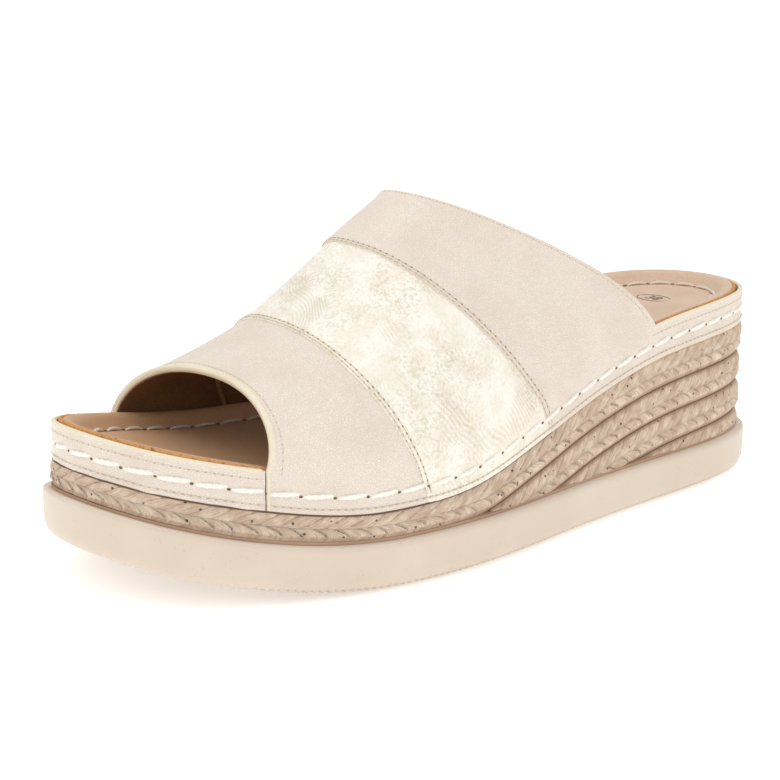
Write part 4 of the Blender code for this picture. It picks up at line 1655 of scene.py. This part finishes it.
@dataclass
class Rand(Assembly):
    """The strips round toe and heel, their piping, and the cord sewn all round the shoe."""

    piping: float = 0.0013
    slit: float = 0.0003
    overlap: float = 0.0012
    top_row: float = 0.0023
    foot_row: float = 0.0016
    cord_sunk: float = 0.00025
    stitch_proud: float = 0.00012
    line_end: float = 0.012

    def build(self) -> None:
        """Build the rand's pieces."""
        toe_outer = SOLE.run_at(float(SOLE.y_at(SECTIONS[0][0])), SOLE.rand_inset, Side.OUTER)
        toe_inner = SOLE.run_at(float(SOLE.y_at(SECTIONS[0][1])), SOLE.rand_inset, Side.INNER)
        back_outer = SOLE.run_at(float(SOLE.y_at(SECTIONS[-1][0])), SOLE.rand_inset, Side.OUTER)
        back_inner = SOLE.run_at(float(SOLE.y_at(SECTIONS[-1][1])), SOLE.rand_inset, Side.INNER)
        start, stop = toe_outer + self.slit, toe_inner - self.slit
        self.strip("toe_strip", start, stop, "rand", "toe_rand", 0.0)
        start, stop = back_inner - SOLE.round - self.overlap, back_outer + self.overlap
        self.strip("heel_strip", start, stop, "upper", "upper", 0.00036)
        self.cord(toe_outer)
        self.edge_lines(toe_outer)

    def strip(self, name: str, start: float, stop: float, slot: str, node: str, lift: float) -> None:
        """A strip of leather along the rand with a piped top edge and a row of fine stitches.

        Args:
            name: The piece's name.
            start: Way along the edge where it starts.
            stop: Way along the edge where it stops.
            slot: The record's slot.
            node: The solid that it stands for.
            lift: How far its face stands off the rand's.
        """
        height = SOLE.rand_height

        def place(u: Array, v: Array) -> Array:
            run = start + (stop - start) * u
            rise = height * v
            wave = 0.00015 * ripple(run / 0.019, 2.0) * (1 - v)
            return SOLE.rand_face(run, rise, lift - cord_furrow(rise) + wave)

        thing = lay_grid(name, 18, int((stop - start) / 0.0007), place, flip=True)
        thicken(thing, 0.0014)
        self.dress(thing, Finishes.BEIGE, slot, (node,))
        self.pipe(f"{name}_piping", start, stop, slot, node, lift)
        line = rand_line(start, stop, height - self.top_row, lambda run: lift + 0 * run)
        self.fine_row(f"{name}_stitches", line, slot, node)

    def pipe(self, name: str, start: float, stop: float, slot: str, node: str, lift: float) -> None:
        """Pale rolled edge along the top of a strip."""

        def place(u: Array, v: Array) -> Array:
            run = start + (stop - start) * u
            turn = 2 * math.pi * v
            full = full_between(u)
            out = lift - 0.0006 + self.piping / 2 * 1.1 * np.cos(turn) * full
            rise = SOLE.rand_height - 0.0002 + self.piping / 2 * np.sin(turn) * full
            return SOLE.rand_face(run, rise, out)

        thing = lay_grid(name, 12, int((stop - start) / 0.001), place)
        self.close(thing, 70, Finishes.EDGE, slot, node)

    def cord(self, start: float) -> None:
        """Thick white twisted cord sewn all round the rand, with painted shade for its needle holes."""
        line = rand_line(start, start + SOLE.round, CORD_RISE * SOLE.rand_height, self.cord_lift, 1600)
        stitch = Stitch(
            CORD_PITCH, 0.0091, 0.00140, 0.0007, plies=2, turns=2.5, slant=0.0008, sides=14, spans=28
        )
        self.dress(stitch.sew("rand_cord", line), Finishes.WHITE_CORD, "rand", ("toe_rand",))
        holes = needle_hole_shades("rand_cord_hole_shades", line, CORD_PITCH, (0.0011, 0.0008), (0.0002, 0.0003))
        self.dress(holes, Finishes.HOLE, "rand", ("toe_rand",))

    def layer_lift(self, run: Array) -> Array:
        """How far the leather stands off the rand's face: more where a panel lies on another."""
        _, y = SOLE.rim(run, SOLE.rand_inset)
        layers = ease((y + 0.0502) / 0.0012) + ease((y - 0.0012) / 0.0012)
        return layers * Upper.step * UPPER.margin_step

    def cord_lift(self, run: Array) -> Array:
        """How far the cord's line stands off the rand's face."""
        return self.layer_lift(run) - self.cord_sunk

    def edge_lines(self, start: float) -> None:
        """Fine stitches near the rand's lower edge, the thin dark line of painted shadow under it round the
        front and the tan board edge under it round the heel.
        """

        def lift(run: Array) -> Array:
            return self.layer_lift(run) + self.stitch_proud

        line = rand_line(start, start + SOLE.round, self.foot_row, lift, 1600)
        self.fine_row("rand_foot_stitches", line, "rand", "toe_rand")

        def under(name: str, first: float, last: float, finish: Finishes, size: float) -> None:
            def place(u: Array, v: Array) -> Array:
                run = first + (last - first) * u
                turn = 2 * math.pi * v
                full = size * np.clip(np.minimum(u, 1 - u) / 0.02, 0, 1)
                return SOLE.rand_face(run, full * np.sin(turn) - 0.0001, full * np.cos(turn) - 0.0001)

            thing = lay_grid(name, 8, int((last - first) / 0.0015), place)
            self.close(thing, 70, finish, "rand", "toe_rand")

        heel = SOLE.run_at(self.line_end, SOLE.rand_inset, Side.OUTER)
        heel_inner = SOLE.run_at(self.line_end, SOLE.rand_inset, Side.INNER)
        # Dark line under the rand round the front: painted shadow on the board's edge.
        under("under_rand_shadow_line", heel, heel_inner, Finishes.UNDER, 0.00028)
        under("board_seat_line", heel_inner - SOLE.round, heel, Finishes.SEAT, 0.00035)


@dataclass
class Studio:
    """Plain pale floor, soft light and the camera at the photograph's angle.

    Attributes:
        azimuth: Camera's turn round the shoe, in degrees.
        elevation: Its height above the horizon, in degrees.
        roll: Its roll, in degrees.
        place: Its place.
        lens: Focal length for a sensor 36 mm wide.
        shift: Shift of the picture, as shares of its width.
        floor_size: The floor's side, far past the picture.
        floor_white: The floor's own shade.
        floor_glow: How strongly the floor lights itself.
        sky: Strength of the surroundings.
    """

    azimuth: float = 49.9056
    elevation: float = 13.0975
    roll: float = 0.4107
    place: tuple[float, float, float] = (0.4163, -0.3724, 0.1697)
    lens: float = 85.73
    shift: tuple[float, float] = (0.0013, -0.0038)
    floor_size: float = 80.0
    floor_white: float = 0.93
    floor_glow: float = 0.35
    sky: float = 0.75

    def build(self) -> None:
        """Build floor, lights, world and camera."""
        self.floor()
        self.world()
        self.light("key", (-0.30, -0.75, 0.95), 0.9, 3.2)
        self.light("top", (0.10, 0.10, 1.20), 1.4, 3.0)
        self.light("fill", (1.00, 0.20, 0.55), 1.0, 1.5)
        self.camera()

    def floor(self) -> None:
        """Wide white floor."""
        deselect()
        bpy.ops.mesh.primitive_plane_add(size=self.floor_size, location=(0, 0, 0))
        plane = bpy.context.object
        plane.name = "floor"
        material = bpy.data.materials.new("white_floor")
        material.use_nodes = True
        shader = material.node_tree.nodes["Principled BSDF"]
        shader.inputs["Base Color"].default_value = (self.floor_white,) * 3 + (1,)
        shader.inputs["Roughness"].default_value = 0.9
        shader.inputs["Emission Color"].default_value = (1, 1, 1, 1)
        shader.inputs["Emission Strength"].default_value = self.floor_glow
        plane.data.materials.append(material)

    def world(self) -> None:
        """Even white surroundings."""
        world = bpy.data.worlds.new("studio")
        world.use_nodes = True
        world.node_tree.nodes["Background"].inputs["Color"].default_value = (1, 1, 1, 1)
        world.node_tree.nodes["Background"].inputs["Strength"].default_value = self.sky
        bpy.context.scene.world = world
        bpy.context.scene.view_settings.view_transform = "Standard"

    def light(self, name: str, place: tuple[float, float, float], size: float, power: float) -> None:
        """Square soft light aimed at the shoe."""
        deselect()
        bpy.ops.object.light_add(type="AREA", location=place)
        lamp = bpy.context.object
        lamp.name = name
        lamp.data.size = size
        lamp.data.energy = power
        aim = Vector((0, 0, 0.04)) - Vector(place)
        lamp.rotation_euler = aim.to_track_quat("-Z", "Y").to_euler()

    def camera(self) -> None:
        """Camera at the photograph's angle and framing."""
        turn, rise, roll = (math.radians(angle) for angle in (self.azimuth, self.elevation, self.roll))
        right = Vector((math.cos(turn), math.sin(turn), 0))
        back = Vector((math.sin(turn) * math.cos(rise), -math.cos(turn) * math.cos(rise), math.sin(rise)))
        up = back.cross(right)
        tilted = right * math.cos(roll) + up * math.sin(roll)
        upright = up * math.cos(roll) - right * math.sin(roll)
        data = bpy.data.cameras.new("view")
        data.sensor_width = 36.0
        data.lens = self.lens
        data.shift_x, data.shift_y = self.shift
        camera = bpy.data.objects.new("view", data)
        bpy.context.collection.objects.link(camera)
        turn_matrix = Matrix((tilted, upright, back)).transposed()
        camera.matrix_world = Matrix.Translation(self.place) @ turn_matrix.to_4x4()
        bpy.context.scene.camera = camera


def main() -> None:
    """Build the shoe's looks in order and report each piece."""
    logging.basicConfig(level=logging.INFO, format="%(name)s %(message)s")
    Studio().build()
    assemblies: list[Assembly] = [Sole(), Footbed(), Upper(), Rand()]
    for assembly in assemblies:
        assembly.build()
    count = sum(len(assembly.made) for assembly in assemblies)
    LOG.info("%d pieces made", count)
    deselect()


if __name__ == "__main__":
    main()
